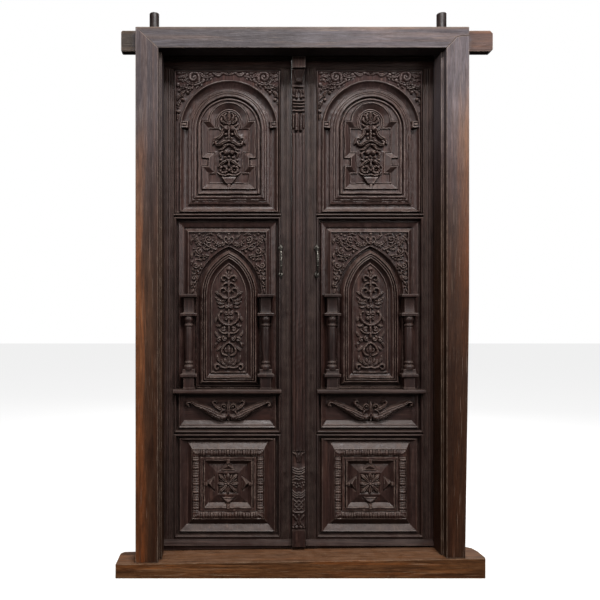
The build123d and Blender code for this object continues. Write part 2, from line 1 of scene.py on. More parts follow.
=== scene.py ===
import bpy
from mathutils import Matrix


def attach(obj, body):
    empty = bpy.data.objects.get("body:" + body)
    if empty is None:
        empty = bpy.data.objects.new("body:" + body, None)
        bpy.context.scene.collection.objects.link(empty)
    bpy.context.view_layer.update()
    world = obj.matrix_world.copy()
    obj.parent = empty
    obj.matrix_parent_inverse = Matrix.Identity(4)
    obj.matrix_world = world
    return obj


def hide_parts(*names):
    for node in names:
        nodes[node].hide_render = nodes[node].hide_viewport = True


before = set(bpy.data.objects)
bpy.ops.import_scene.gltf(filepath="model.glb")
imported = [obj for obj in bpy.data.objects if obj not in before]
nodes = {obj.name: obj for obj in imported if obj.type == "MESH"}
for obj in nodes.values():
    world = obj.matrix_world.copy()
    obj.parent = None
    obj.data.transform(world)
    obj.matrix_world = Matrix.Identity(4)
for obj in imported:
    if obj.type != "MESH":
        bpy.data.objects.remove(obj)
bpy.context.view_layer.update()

import math

import bpy
import numpy as np

MM = 0.001

# ------------------------------------------------------------------ dimensions (mm)
C = -300.3            # panel centre of the left leaf
FACE = 124.0          # front of the stiles
REB = 142.0           # plane of the rebate; relief heights are measured from it
PANEL_W = 209.0
ARCH_Z, ARCH_R, ARCH_FOOT = 1837.0, 206.0, 1487.0
POINT_Z, POINT_W, POINT_H, POINT_FOOT = 1137.0, 139.0, 207.0, 745.0


# ------------------------------------------------------------------ mesh helpers
def build_mesh(name, verts, faces, angle=38.0, flip=False):
    """Mesh from an array of points in millimetres and a list of face index arrays."""
    loops, totals = [], []
    for f in faces:
        f = np.asarray(f)
        if flip:
            f = f[:, ::-1]
        loops.append(f.ravel())
        totals.append(np.full(len(f), f.shape[1]))
    loops = np.concatenate(loops).astype(np.int32)
    totals = np.concatenate(totals)
    starts = np.concatenate([[0], np.cumsum(totals)[:-1]]).astype(np.int32)
    me = bpy.data.meshes.new(name)
    me.vertices.add(len(verts))
    me.vertices.foreach_set("co", (np.asarray(verts) * MM).astype(np.float32).ravel())
    me.loops.add(len(loops))
    me.loops.foreach_set("vertex_index", loops)
    me.polygons.add(len(totals))
    me.polygons.foreach_set("loop_start", starts)
    me.update(calc_edges=True)
    me.shade_smooth()
    me.set_sharp_from_angle(angle=math.radians(angle))
    return me


def place(name, me, body, slot, mat, *replaced):
    ob = bpy.data.objects.new(name, me)
    bpy.context.scene.collection.objects.link(ob)
    if not me.materials:
        me.materials.append(mat)
    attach(ob, body)
    if replaced:
        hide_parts(*replaced)
    return ob


def both(name, verts, faces, slot, mat, replaced=(), angle=38.0):
    """One piece on the left leaf and its mirror image on the right leaf."""
    verts = np.asarray(verts, float)
    for side, sx in (("left", 1.0), ("right", -1.0)):
        me = build_mesh(side + "_" + name, verts * [sx, 1, 1], faces, angle, sx < 0)
        place(side + "_" + name, me, side + "_leaf", slot, mat, *[side + "_" + n for n in replaced])


def reduce(verts, faces, ratio):
    """Collapse a dense relief to fewer triangles."""
    me = build_mesh("dense", verts, faces)
    ob = bpy.data.objects.new("dense", me)
    bpy.context.scene.collection.objects.link(ob)
    mod = ob.modifiers.new("reduce", "DECIMATE")
    mod.ratio = ratio
    mod.use_collapse_triangulate = True
    ev = ob.evaluated_get(bpy.context.evaluated_depsgraph_get())
    out = ev.to_mesh()
    n = len(out.vertices)
    co = np.empty(n * 3, np.float32)
    out.vertices.foreach_get("co", co)
    out.calc_loop_triangles()
    tri = np.empty(len(out.loop_triangles) * 3, np.int32)
    out.loop_triangles.foreach_get("vertices", tri)
    ev.to_mesh_clear()
    bpy.data.objects.remove(ob)
    bpy.data.meshes.remove(me)
    return co.reshape(-1, 3).astype(float) / MM, [tri.reshape(-1, 3)]


def relief(x0, x1, z0, z1, sx, sz, fn, backs):
    """Closed slab whose front is a carved surface; backs lists the (side, low, high) insets and Y of the loops behind it."""
    nx, nz = int(round((x1 - x0) / sx)) + 1, int(round((z1 - z0) / sz)) + 1
    X, Z = np.meshgrid(np.linspace(x0, x1, nx), np.linspace(z0, z1, nz))
    Y = fn(X, Z)
    verts = [np.stack([X, Y, Z], -1).reshape(-1, 3)]
    idx = np.arange(nx * nz).reshape(nz, nx)
    faces = [np.stack([idx[:-1, :-1], idx[:-1, 1:], idx[1:, 1:], idx[1:, :-1]], -1).reshape(-1, 4)]
    ring = np.concatenate([idx[0, :-1], idx[:-1, -1], idx[-1, :0:-1], idx[:0:-1, 0]])
    edge = verts[0][ring]
    n = nx * nz
    for side, low, high, y in backs:
        loop = np.empty_like(edge)
        loop[:, 0] = x0 + side + (edge[:, 0] - x0) * (x1 - x0 - 2 * side) / (x1 - x0)
        loop[:, 1] = y
        loop[:, 2] = z0 + low + (edge[:, 2] - z0) * (z1 - z0 - low - high) / (z1 - z0)
        cur = n + np.arange(len(ring))
        faces.append(np.stack([ring, cur, np.roll(cur, -1), np.roll(ring, -1)], -1))
        verts.append(loop)
        ring = cur
        n += len(cur)
    faces.append(ring[::-1][None, :])
    return np.concatenate(verts), faces


def prism(profile, axis_from, axis_to, axis="Z"):
    """Sweep a closed profile. axis Z: profile in (X, Y); axis X: profile in (Y, Z), listed anticlockwise."""
    p = np.asarray(profile, float)
    n = len(p)
    if axis == "Z":
        a = np.column_stack([p[:, 0], p[:, 1], np.full(n, axis_from)])
        b = np.column_stack([p[:, 0], p[:, 1], np.full(n, axis_to)])
    else:
        a = np.column_stack([np.full(n, axis_from), p[:, 0], p[:, 1]])
        b = np.column_stack([np.full(n, axis_to), p[:, 0], p[:, 1]])
    i = np.arange(n)
    j = (i + 1) % n
    faces = [np.stack([i, j, j + n, i + n], -1), i[::-1][None, :], (i + n)[None, :]]
    return np.concatenate([a, b]), faces


def join(parts):
    verts, faces, n = [], [], 0
    for v, fs in parts:
        verts.append(np.asarray(v, float))
        faces += [np.asarray(f) + n for f in fs]
        n += len(v)
    return np.concatenate(verts), faces


# ------------------------------------------------------------------ carving tools
def wobble(X, Z, wave, amp, seed):
    """Smooth irregularity of hand work."""
    r = np.random.RandomState(seed)
    out = np.zeros_like(X)
    for _ in range(5):
        a, ph, k = r.uniform(0, math.tau), r.uniform(0, math.tau), math.tau / (wave * r.uniform(0.6, 1.6))
        out += np.sin((X * math.cos(a) + Z * math.sin(a)) * k + ph)
    return out * amp / 2.2


def cuts(X, Z, orn, seed):
    """Small uneven facets a gouge leaves on raised ornament."""
    return (wobble(X, Z, 14, 0.6, seed) + wobble(X, Z, 8, 0.4, seed + 1)) * np.clip(orn / 4, 0, 1)


def profile(points, soft=1.0):
    """Height as a function of distance, with the arrises rounded a little."""
    xs, ys = np.array([p[0] for p in points], float), np.array([p[1] for p in points], float)
    t = np.arange(xs[0] - 5, xs[-1] + 5, 0.2)
    y = np.interp(t, xs, ys)
    k = max(1, int(soft / 0.2))
    y = np.convolve(np.pad(y, k, "edge"), np.ones(k) / k, "same")[k:-k]
    return lambda q: np.interp(q, t, y)


def curve(pts, step=0.9):
    """Points along a smooth curve through the given ones, and the parameter of each."""
    P = np.asarray(pts, float)
    if len(P) == 2:
        P = np.array([P[0], (P[0] + P[1]) / 2, P[1]])
    Q = np.vstack([2 * P[0] - P[1], P, 2 * P[-1] - P[-2]])
    out, par = [], []
    for i in range(len(P) - 1):
        a, b, c, d = Q[i], Q[i + 1], Q[i + 2], Q[i + 3]
        n = max(2, int(np.linalg.norm(c - b) / step) + 1)
        s = np.linspace(0, 1, n, endpoint=i == len(P) - 2)[:, None]
        out.append(0.5 * (2 * b + (c - a) * s + (2 * a - 5 * b + 4 * c - d) * s ** 2 + (3 * b - a - 3 * c + d) * s ** 3))
        par.append((i + s[:, 0]) / (len(P) - 1))
    return np.concatenate(out), np.concatenate(par)


def spread(v, par):
    v = np.atleast_1d(np.asarray(v, float))
    return np.interp(par, np.linspace(0, 1, len(v)), v) if len(v) > 1 else np.full(len(par), v[0])


class Canvas:
    """Heights of the ornament on one half of a panel, u >= 0; the other half mirrors it."""

    def __init__(self, u0, u1, z0, z1, s=0.8):
        self.u0, self.z0, self.s = u0, z0, s
        self.us = u0 + s * np.arange(int((u1 - u0) / s) + 2)
        self.zs = z0 + s * np.arange(int((z1 - z0) / s) + 2)
        self.h = np.zeros((len(self.zs), len(self.us)))
        self.fat = 1.0

    def window(self, u, z, r):
        i0, i1 = int((u - r - self.u0) / self.s), int((u + r - self.u0) / self.s) + 2
        j0, j1 = int((z - r - self.z0) / self.s), int((z + r - self.z0) / self.s) + 2
        return slice(max(j0, 0), max(j1, 0)), slice(max(i0, 0), max(i1, 0))

    def dab(self, u, z, r, h, p=0.5, into=None):
        into = self.h if into is None else into
        r = r * self.fat
        a, b = self.window(u, z, r)
        if a.stop <= a.start or b.stop <= b.start:
            return
        d = ((self.us[b][None, :] - u) ** 2 + (self.zs[a][:, None] - z) ** 2) / (r * r)
        np.maximum(into[a, b], h * np.clip(1 - d, 0, 1) ** p, out=into[a, b])

    def stroke(self, pts, r, h, p=0.5):
        P, par = curve(pts)
        for (u, z), rr, hh in zip(P, spread(r, par), spread(h, par)):
            self.dab(u, z, max(rr, 0.7), hh, p)

    def groove(self, pts, r, depth):
        tmp = np.zeros_like(self.h)
        P, par = curve(pts)
        for (u, z), rr, hh in zip(P, spread(r, par), spread(depth, par)):
            self.dab(u, z, max(rr, 0.7), hh, 0.8, tmp)
        self.h = np.where(self.h > 0.2, np.maximum(self.h - tmp, 0.3), self.h)

    def spiral(self, u, z, r0, r1, a0, turns, w, h, hand=1, eye=0.0):
        n = max(6, int(abs(turns) * 14))
        s = np.linspace(0, 1, n)
        ang = math.radians(a0) + hand * math.tau * turns * s
        r = r0 + (r1 - r0) * s ** 0.85
        self.stroke(np.column_stack([u + r * np.cos(ang), z + r * np.sin(ang)]), w, h)
        if eye:
            self.dab(u, z, eye, np.max(h) * 1.05)

    def leaf(self, pts, w, h, vein=0.35):
        """Plain leaf: swelling body with a sunk midrib."""
        P, par = curve(pts)
        for (u, z), s in zip(P, par):
            self.dab(u, z, max(0.8, w * math.sin(math.pi * min(0.98, 0.12 + 0.86 * s)) ** 0.75), h * (0.75 + 0.25 * math.sin(math.pi * s)), 0.45)
        if vein:
            self.groove([tuple(q) for q in P[:: max(1, len(P) // 6)]], max(0.9, w * 0.16), h * vein)

    def acanthus(self, pts, length, h, n=5, w=4.0, sides=(1, -1)):
        """Leaf with curling lobes either side of its midrib."""
        P, par = curve(pts)
        T = np.gradient(P, axis=0)
        T /= np.linalg.norm(T, axis=1)[:, None] + 1e-9
        self.stroke(pts, (w, w * 0.8, w * 0.35), (h, h, h * 0.6))
        for i in range(n):
            k = int((i + 0.5) / (n + 0.2) * (len(P) - 1))
            s = par[k]
            for sg in sides:
                ln = length * (0.55 + 0.6 * math.sin(math.pi * (0.2 + 0.7 * s))) * (1 - 0.35 * s)
                a = math.atan2(T[k, 1], T[k, 0]) + sg * math.radians(68 - 22 * s)
                m = P[k] + ln * 0.55 * np.array([math.cos(a), math.sin(a)])
                b = a - sg * math.radians(46)
                e = m + ln * 0.5 * np.array([math.cos(b), math.sin(b)])
                self.stroke([P[k], m, e], (ln * 0.16, ln * 0.24, ln * 0.07), (h * 0.55, h * 0.95, h * 0.5))
                self.groove([tuple(P[k] * 0.7 + m * 0.3), tuple(m), tuple(e * 0.7 + m * 0.3)], ln * 0.07, h * 0.3)
        self.groove([tuple(P[0]), tuple(P[len(P) // 2]), tuple(P[int(len(P) * 0.85)])], w * 0.3, h * 0.3)

    def done(self):
        h = self.h
        for _ in range(1):
            p = np.pad(h, 1, "edge")
            h = (4 * h + p[:-2, 1:-1] + p[2:, 1:-1] + p[1:-1, :-2] + p[1:-1, 2:]) / 8
        self.h = h
        return self

    def at(self, u, z):
        x = np.clip((u - self.u0) / self.s, 0, len(self.us) - 1.001)
        y = np.clip((z - self.z0) / self.s, 0, len(self.zs) - 1.001)
        i, j = x.astype(int), y.astype(int)
        fx, fy = x - i, y - j
        h = self.h
        return (h[j, i] * (1 - fx) + h[j, i + 1] * fx) * (1 - fy) + (h[j + 1, i] * (1 - fx) + h[j + 1, i + 1] * fx) * fy


def soft(d, w=1.5):
    """0 outside, 1 inside, over a narrow slope."""
    return np.clip(d / w, 0, 1)


# ------------------------------------------------------------------ upper panel
def upper_ornament():
    c = Canvas(-40, 212, 1575, 2076)
    # foliage in the corners above the round arch
    c.dab(0, 2068, 7, 5)
    c.leaf([(4, 2056), (16, 2062), (30, 2069)], 6.5, 5.5)
    c.dab(27, 2061, 6, 6)
    c.leaf([(30, 2058), (44, 2053), (58, 2060), (70, 2069)], 7.5, 6)
    c.dab(74, 2056, 6.5, 6.5)
    c.acanthus([(66, 2049), (86, 2044), (104, 2048), (116, 2060), (112, 2067)], 15, 7, 5, 4.5)
    c.leaf([(78, 2069), (92, 2062), (108, 2069)], 5, 5)
    c.dab(100, 2034, 6.5, 6.5)
    c.spiral(140, 2046, 23, 6, 200, 1.25, (6.5, 6, 4), (6, 7, 6), -1, 6)
    c.acanthus([(104, 2030), (122, 2019), (142, 2016), (162, 2024), (172, 2044), (168, 2060)], 16, 7, 6, 4.5)
    c.leaf([(160, 2066), (176, 2068), (190, 2060)], 6, 6)
    c.dab(199, 2063, 8, 7)
    c.leaf([(176, 2046), (188, 2050), (202, 2044)], 6.5, 6)
    c.dab(203, 2018, 8, 7)
    c.leaf([(182, 2030), (190, 2036), (204, 2034)], 5, 5.5)
    c.acanthus([(146, 2004), (164, 2003), (182, 2010), (194, 2004), (200, 1990)], 13, 6.5, 5, 4)
    c.dab(164, 1989, 7, 6.5)
    c.leaf([(176, 1994), (186, 1984), (184, 1972)], 6, 6)
    c.dab(184, 1962, 7, 6.5)
    c.leaf([(190, 1976), (200, 1972), (205, 1960)], 5.5, 5.5)
    c.acanthus([(194, 1954), (202, 1942), (204, 1926)], 9, 6, 3, 3.2)
    c.dab(203, 1912, 7, 6.5)
    c.leaf([(203, 1902), (204, 1890), (206, 1876)], 4.5, 5)
    # bud under the small arch
    c.stroke([(0, 1866), (0, 1888), (0, 1910)], (6, 9, 3.5), (9, 12, 8))
    c.groove([(0, 1872), (0, 1904)], 1.5, 4.0)
    c.stroke([(5, 1868), (15, 1878), (19, 1893), (12, 1905)], (4.5, 6.5, 6.5, 3.5), (8, 11, 11, 8))
    c.groove([(8, 1870), (16, 1881), (17, 1895)], 1.4, 3.6)
    c.stroke([(6, 1862), (20, 1866), (31, 1876), (30, 1888)], (4.5, 6.5, 6.5, 4), (8, 10.5, 10.5, 8))
    c.groove([(10, 1863), (22, 1867), (30, 1877)], 1.4, 3.4)
    c.dab(27, 1896, 5.5, 9)
    c.dab(0, 1860, 7, 10.5)
    c.stroke([(8, 1852), (24, 1851), (34, 1859)], (4.5, 7, 3.5), (8, 10.5, 7))
    c.groove([(12, 1852), (25, 1851)], 1.3, 3.2)
    # pair of fruits
    c.dab(14.5, 1841, 12.5, 12)
    c.stroke([(0, 1852), (0, 1800)], (4, 5.5, 4), (8, 9, 8))
    # long leaf that droops outwards, and the wings below it
    c.stroke([(8, 1850), (24, 1838), (31, 1816), (43, 1803), (59, 1797), (68, 1776)], (4, 7.5, 9, 9.5, 8, 3), (7, 10.5, 11.5, 11.5, 10.5, 7))
    c.groove([(24, 1836), (32, 1815), (45, 1802), (59, 1795)], 2.0, 4.5)
    c.dab(14, 1817, 7, 10)
    c.dab(11, 1801, 5.5, 9)
    c.stroke([(2, 1790), (18, 1785), (36, 1773), (51, 1773), (57, 1785), (48, 1790)], (6, 9, 9, 7.5, 5, 3.5), (9, 12, 12, 11, 9, 7))
    c.groove([(8, 1789), (22, 1783), (38, 1772), (50, 1772)], 1.9, 4.5)
    c.stroke([(3, 1774), (16, 1767), (28, 1754), (41, 1751)], (5, 8, 7.5, 3.5), (9, 11.5, 11, 7))
    c.groove([(8, 1771), (20, 1764), (31, 1754)], 1.6, 3.8)
    # second pair of fruits, small leaves
    c.dab(12.5, 1740, 12, 12.5)
    c.stroke([(26, 1744), (37, 1735), (35, 1721)], (4.5, 6.5, 3.5), (8, 10, 7))
    c.dab(18, 1719, 7, 10)
    c.dab(0, 1722, 6, 10)
    c.dab(35, 1709, 6.5, 9.5)
    c.stroke([(4, 1709), (19, 1701), (33, 1690), (46, 1680)], (5.5, 9, 9, 3.5), (9, 12, 12, 8))
    c.groove([(10, 1706), (22, 1698), (36, 1687)], 1.9, 4.5)
    c.stroke([(0, 1706), (0, 1684)], (4.5, 5.5), (9, 10))
    # two rosettes on the foot
    c.spiral(23, 1667, 13.5, 13.5, 0, 1.0, 7.5, 11)
    for i in range(6):
        q = math.tau * i / 6 + 0.3
        c.groove([(23 + 6 * math.cos(q), 1667 + 6 * math.sin(q)), (23 + 20 * math.cos(q), 1667 + 20 * math.sin(q))], 1.5, 4.5)
    c.dab(23, 1667, 3.6, 8)
    c.dab(0, 1664, 6.5, 10)
    c.stroke([(0, 1647), (18, 1643), (36, 1647), (47, 1655)], (5.5, 5.5, 5, 3), (10, 10, 9, 6))
    return c.done()


UPPER = profile([
    (-400, 9), (-3, 9), (-2, 12), (0, 19.5), (2, 22), (4.2, 21.5), (5.6, 16), (9, 9), (16, 3.5), (23, 0), (26, -3), (32, -3), (33.5, 6.5), (36.5, 9), (39.5, 9),
    (45, 11.2), (46.6, 8.6), (48.2, 12.5), (54, 15), (55.6, 12.4), (57.2, 16.2), (63, 18.6), (67, 19), (69, 17), (70.5, 7), (74, 7), (75.5, 13), (77.5, 17.5), (82, 18), (84, 14), (86, 12.5), (94, 12.5), (400, 12.5)], 0.8)
CARTOUCHE = profile([
    (-60, 6), (-3, 6), (-1, 7), (0.2, 18.4), (3.5, 18.8), (5, 17.5), (25, 5.5), (26, 9), (29, 9), (30, 3.5), (200, 3.5)], 0.7)
CARTOUCHE_ARCH = profile([
    (-60, 6), (-3, 6), (-1, 7), (0.2, 18.4), (4, 18.8), (5.5, 14.5), (7, 14.5), (26, 5), (27.5, 9.5), (31, 10), (32.5, 5.5), (34, 5.5), (35.5, 9), (38.5, 9), (40, 3.5), (200, 3.5)], 0.7)
UPPER_EDGE = profile([(0, 3), (1.4, 3), (2.4, 14), (4.4, 16.5), (6.4, 14), (7.4, 5), (9, 5), (10.5, 10.5), (20, 10.5)], 0.6)


def upper_height(X, Z, shift):
    us = X - C - shift
    u = np.abs(us) + wobble(us, Z, 90, 0.45, 11) + wobble(us, Z, 26, 0.2, 12)
    z = Z + wobble(us, Z, 90, 0.45, 13) + wobble(us, Z, 26, 0.2, 14)
    t = np.where(z > ARCH_Z, ARCH_R - np.hypot(u, z - ARCH_Z), np.minimum(ARCH_R - u, z - ARCH_FOOT))
    h = UPPER(t)
    # sunk field with ears, notches and a small arch, mitred at every corner
    box = np.minimum(112.8 - u, np.minimum(z - 1584, 1871 - z))
    ring = 84 - np.hypot(u, z - 1867)
    notch = np.maximum(85.8 - u, np.maximum(1681 - z, z - 1715))
    d = np.minimum(notch, np.maximum(box, ring))
    h = np.where(d > -2.8, np.where(ring > box, CARTOUCHE_ARCH(d), CARTOUCHE(d)), h)
    edge = np.minimum(225.2 - np.abs(X - C), 2087.7 - Z)
    leafy = ORN_UPPER.at(u * 0.945, z - 13 * np.clip((z - 1960) / 110, 0, 1))
    h = np.where((t < -2) & (z > 1872), h + (1.7 * leafy + cuts(us, Z, leafy, 16)) * soft(edge - 9, 2), h)
    h = np.where((edge < 10) & (t < 2), UPPER_EDGE(edge), h)
    orn = ORN_UPPER.at(u, z)
    h = np.where(d > 4, np.maximum(h, np.where(orn > 0.2, 3.5 + 1.3 * orn + cuts(us, Z, orn, 17), -9)), h)
    # foot of the flower: a small inverted block on a stem
    half = 15 + 17 * np.clip((z - 1608) / 27, 0, 1)
    k = np.minimum(np.minimum(half - u, z - 1607), 1638 - z)
    h = np.maximum(h, np.where(k > 0, 6 + 12 * soft(k, 2.2) - 3.0 * soft(8 - (1638 - z), 8) * soft(k, 2.2), 0))
    k = np.minimum(8 - u, np.minimum(z - 1585, 1609 - z))
    h = np.maximum(h, np.where(k > 0, 6 + 11.5 * soft(k, 2), 0))
    # impost blocks at the springing
    k = np.minimum(np.minimum(u - 171, 207.5 - u), np.minimum(z - 1841, 1872 - z))
    h = np.maximum(h, np.where(k > 0, 10 + 10.5 * soft(k, 2.5) - 3.5 * soft(k - 6, 1.5) * soft(12 - k, 2), 0))
    h += wobble(us, Z, 40, 0.25, 15)
    return REB - h


# ------------------------------------------------------------------ middle panel
def middle_ornament():
    c = Canvas(-40, 170, 780, 1410)
    c.fat = 1.12
    # foliage above the pointed arch
    c.dab(0, 1396, 5, 4.5)
    c.leaf([(0, 1352), (0, 1368), (0, 1388)], 7, 5)
    c.stroke([(3, 1354), (14, 1360), (20, 1372), (14, 1382), (7, 1378)], (3, 3.2, 3, 2.6, 2), (4.5, 5, 5, 4.5, 4))
    c.spiral(26, 1354, 9, 2.5, 160, 1.1, (3, 2.4), (5, 4.5), 1, 3)
    c.leaf([(28, 1374), (38, 1384), (52, 1396)], 5, 4.5)
    c.acanthus([(34, 1344), (50, 1352), (62, 1366), (60, 1382)], 12, 5.5, 5, 3.4)
    c.dab(44, 1398, 4.5, 4.5)
    c.leaf([(66, 1392), (80, 1397), (94, 1392)], 4.5, 4.5)
    c.spiral(86, 1372, 15, 3, 250, 1.35, (4.2, 3.4, 2.6), (5, 5.5, 5), 1, 4)
    c.acanthus([(56, 1330), (74, 1336), (92, 1346), (108, 1362), (112, 1382), (104, 1394)], 13, 5.5, 6, 3.4)
    c.dab(72, 1320, 5, 5)
    c.leaf([(84, 1330), (98, 1330), (112, 1340)], 5, 5)
    c.acanthus([(120, 1346), (132, 1360), (140, 1378), (152, 1392)], 12, 5.5, 5, 3.2)
    c.dab(124, 1394, 5, 4.5)
    c.leaf([(146, 1376), (156, 1366), (158, 1352)], 5, 5)
    c.spiral(124, 1322, 14, 3, 80, 1.3, (4, 3.2, 2.4), (5, 5.5, 5), -1, 4)
    c.acanthus([(86, 1304), (100, 1300), (116, 1300), (134, 1306), (146, 1322), (146, 1342)], 12, 5.5, 6, 3.2)
    c.dab(104, 1288, 4.5, 5)
    c.leaf([(112, 1284), (124, 1288), (138, 1286)], 5, 5)
    c.leaf([(150, 1318), (157, 1306), (156, 1292)], 5, 5)
    c.spiral(140, 1262, 12.5, 3, 200, 1.3, (3.8, 3, 2.4), (5, 5.5, 5), 1, 3.6)
    c.acanthus([(116, 1266), (120, 1250), (130, 1240), (146, 1240), (157, 1250)], 10, 5, 5, 3)
    c.leaf([(152, 1282), (158, 1274), (158, 1262)], 4, 4.5)
    c.dab(128, 1228, 4.5, 5)
    c.leaf([(138, 1232), (148, 1226), (156, 1230)], 4.5, 4.5)
    c.spiral(147, 1208, 9.5, 2.5, 160, 1.2, (3.2, 2.6), (5, 4.5), -1, 3)
    c.leaf([(134, 1218), (136, 1204), (142, 1192)], 4.5, 5)
    c.acanthus([(142, 1192), (150, 1182), (155, 1168)], 7, 5, 3, 2.6)
    c.dab(146, 1172, 4, 4.5)
    c.leaf([(156, 1192), (159, 1180), (158, 1168)], 3.6, 4.5)
    c.leaf([(149, 1162), (153, 1152), (158, 1144)], 4, 4.5)
    # candelabrum of scrolls in the niche
    c.fat = 1.38
    f = 8.2
    c.dab(0, 1247, 7.5, f)
    c.stroke([(0, 1236), (0, 1212)], (3, 4), f)
    c.stroke([(0, 1206), (10, 1214), (22, 1218), (30, 1210), (26, 1199), (17, 1201)], (3.5, 4.2, 4, 3.6, 3, 2.2), (f, f, f, f, 6.5, 6))
    c.leaf([(2, 1210), (8, 1224), (12, 1234)], 4, 6.5)
    c.stroke([(0, 1206), (0, 1176)], (5, 4, 5), f)
    c.stroke([(4, 1188), (16, 1186), (26, 1178), (30, 1168)], (3, 3.6, 3.4, 2.5), (7, f, 7, 6))
    c.stroke([(0, 1128), (12, 1124), (28, 1130), (38, 1146), (34, 1162), (20, 1166), (13, 1156), (20, 1149)], (3.6, 4.6, 4.8, 4.6, 4.2, 3.8, 3, 2.4), (f, 8.5, 8.5, 8.5, 8, f, 7, 6))
    c.dab(0, 1152, 8, f)
    c.stroke([(0, 1170), (0, 1130)], (3, 4.5, 4), f)
    c.leaf([(36, 1134), (46, 1144), (57, 1150)], 5, 6.5)
    c.acanthus([(14, 1118), (30, 1112), (44, 1116), (57, 1128)], 9, 7, 4, 3)
    c.leaf([(20, 1104), (36, 1102), (52, 1108)], 4.5, 6.5)
    c.stroke([(0, 1128), (0, 1096)], (4, 5, 4), f)
    c.spiral(9, 1086, 9, 2, 190, 1.1, (3.4, 2.6), (f, 7), -1, 3)
    c.spiral(10, 1062, 10, 2, 170, 1.1, (3.6, 2.6), (f, 7), 1, 3)
    c.spiral(9, 1037, 9.5, 2, 190, 1.1, (3.4, 2.6), (f, 7), -1, 3)
    c.leaf([(22, 1090), (34, 1086), (46, 1090)], 4, 6)
    c.stroke([(0, 1100), (0, 1000)], (3, 3.4, 3), 6.5)
    c.stroke([(34, 1068), (42, 1052), (38, 1032), (24, 1018), (8, 1012), (0, 1011)], (2.6, 4.2, 5, 5, 4.6, 4.2), (6, f, 8.5, 8.5, 8, f))
    c.dab(33, 1066, 5, 7.5)
    c.leaf([(46, 1046), (54, 1034), (56, 1020)], 4, 6)
    c.leaf([(30, 1014), (42, 1006), (54, 1008)], 4.2, 6.5)
    c.spiral(21, 992, 10, 2, 120, 1.2, (3.6, 2.6), (8, 7), -1, 3.4)
    c.stroke([(0, 1010), (0, 960)], (4.4, 4, 4.6), f)
    c.stroke([(4, 978), (16, 976), (30, 980), (40, 990)], (3, 3.6, 3.4, 2.4), (7, f, f, 6))
    c.spiral(17, 953, 10.5, 2, 60, 1.2, (3.6, 2.6), (8, 7), -1, 3.4)
    c.spiral(40, 948, 10, 2, 110, 1.2, (3.4, 2.4), (f, 6.5), -1, 3)
    c.leaf([(46, 962), (54, 972), (58, 984)], 4, 6)
    c.leaf([(48, 936), (56, 928), (58, 916)], 4, 6)
    c.stroke([(0, 936), (12, 930), (24, 916), (30, 900), (22, 886), (8, 882)], (3.4, 4, 4.2, 4.2, 4, 3.4), (f, 8, 8, 8, f, 7))
    c.leaf([(0, 890), (0, 906), (0, 926)], 6, 7)
    c.leaf([(8, 892), (14, 904), (14, 914)], 3.6, 6)
    c.leaf([(34, 918), (44, 908), (52, 904)], 4, 6)
    c.leaf([(0, 838), (0, 856), (0, 878)], 6.5, 8)
    c.leaf([(4, 842), (14, 856), (16, 872)], 5, 7.5)
    c.leaf([(8, 840), (24, 848), (32, 864)], 5, 7)
    c.stroke([(2, 834), (18, 830), (34, 834), (46, 844), (57, 840), (58, 828), (49, 823), (43, 830)], (3.6, 4.4, 4.6, 4.6, 4.2, 3.8, 3.2, 2.4), (f, 8, 8, 8, 8, f, 7, 6))
    c.leaf([(36, 852), (46, 866), (48, 882)], 4.4, 6.5)
    return c.done()


MID_RECT = profile([(0, 3), (2.5, 3), (3.5, 15), (5, 16), (6, 13.5), (25, 7.5), (27, 3), (30, 3), (42, 14), (43.5, 17.5), (46.5, 18), (47.5, 11), (400, 11)], 0.7)
MID_SIDE = profile([(0, 3), (2.5, 3), (3.5, 15), (5, 16), (6, 13.5), (25, 5.5), (27, 2), (400, 2)], 0.7)
MID_ARCH = profile([
    (-5, 11), (0, 13), (1.2, 0), (3, -5), (13.5, -5), (15.5, 4), (21, 11.5), (26.5, 17.4), (28.4, 17), (29.4, 8), (31.2, 8), (32.4, 13.5), (36.5, 17.2),
    (38, 16), (38.8, 9), (40.4, 9), (41.4, 14), (45, 16), (46.4, 14.5), (52, 6), (60, 0.5), (62.5, 0.5), (63.6, 8), (66.6, 9), (68, 6.5),
    (69, 4.5), (400, 4.5)], 0.7)


def middle_height(X, Z, shift):
    us = X - C - shift
    u = np.abs(us) + wobble(us, Z, 90, 0.45, 21) + wobble(us, Z, 24, 0.2, 22)
    z = Z + wobble(us, Z, 90, 0.45, 23) + wobble(us, Z, 24, 0.2, 24)
    edge = np.minimum(PANEL_W - np.abs(X - C), 1449.2 - Z)
    h = np.where(z > 1130, MID_RECT(edge), MID_SIDE(edge))
    off = (POINT_H ** 2 - POINT_W ** 2) / (2 * POINT_W)
    t = np.where(z > POINT_Z, POINT_W + off - np.hypot(u + off, z - POINT_Z), np.minimum(POINT_W - u, z - POINT_FOOT))
    orn = ORN_MIDDLE.at(u, z)
    h = np.where((t < -1) & (edge > 47.5) & (z > 1138), h - 1.5 + 1.75 * orn + cuts(us, Z, orn, 26), h)
    h = np.where(t > -0.5, MID_ARCH(t), h)
    h = np.where((t > 66) & (orn > 0.2), np.maximum(h, 4.5 + 1.4 * orn + cuts(us, Z, orn, 27)), h)
    h += wobble(us, Z, 40, 0.22, 25)
    return REB - h


# ------------------------------------------------------------------ bottom panel
ROSE_Z = 341.0


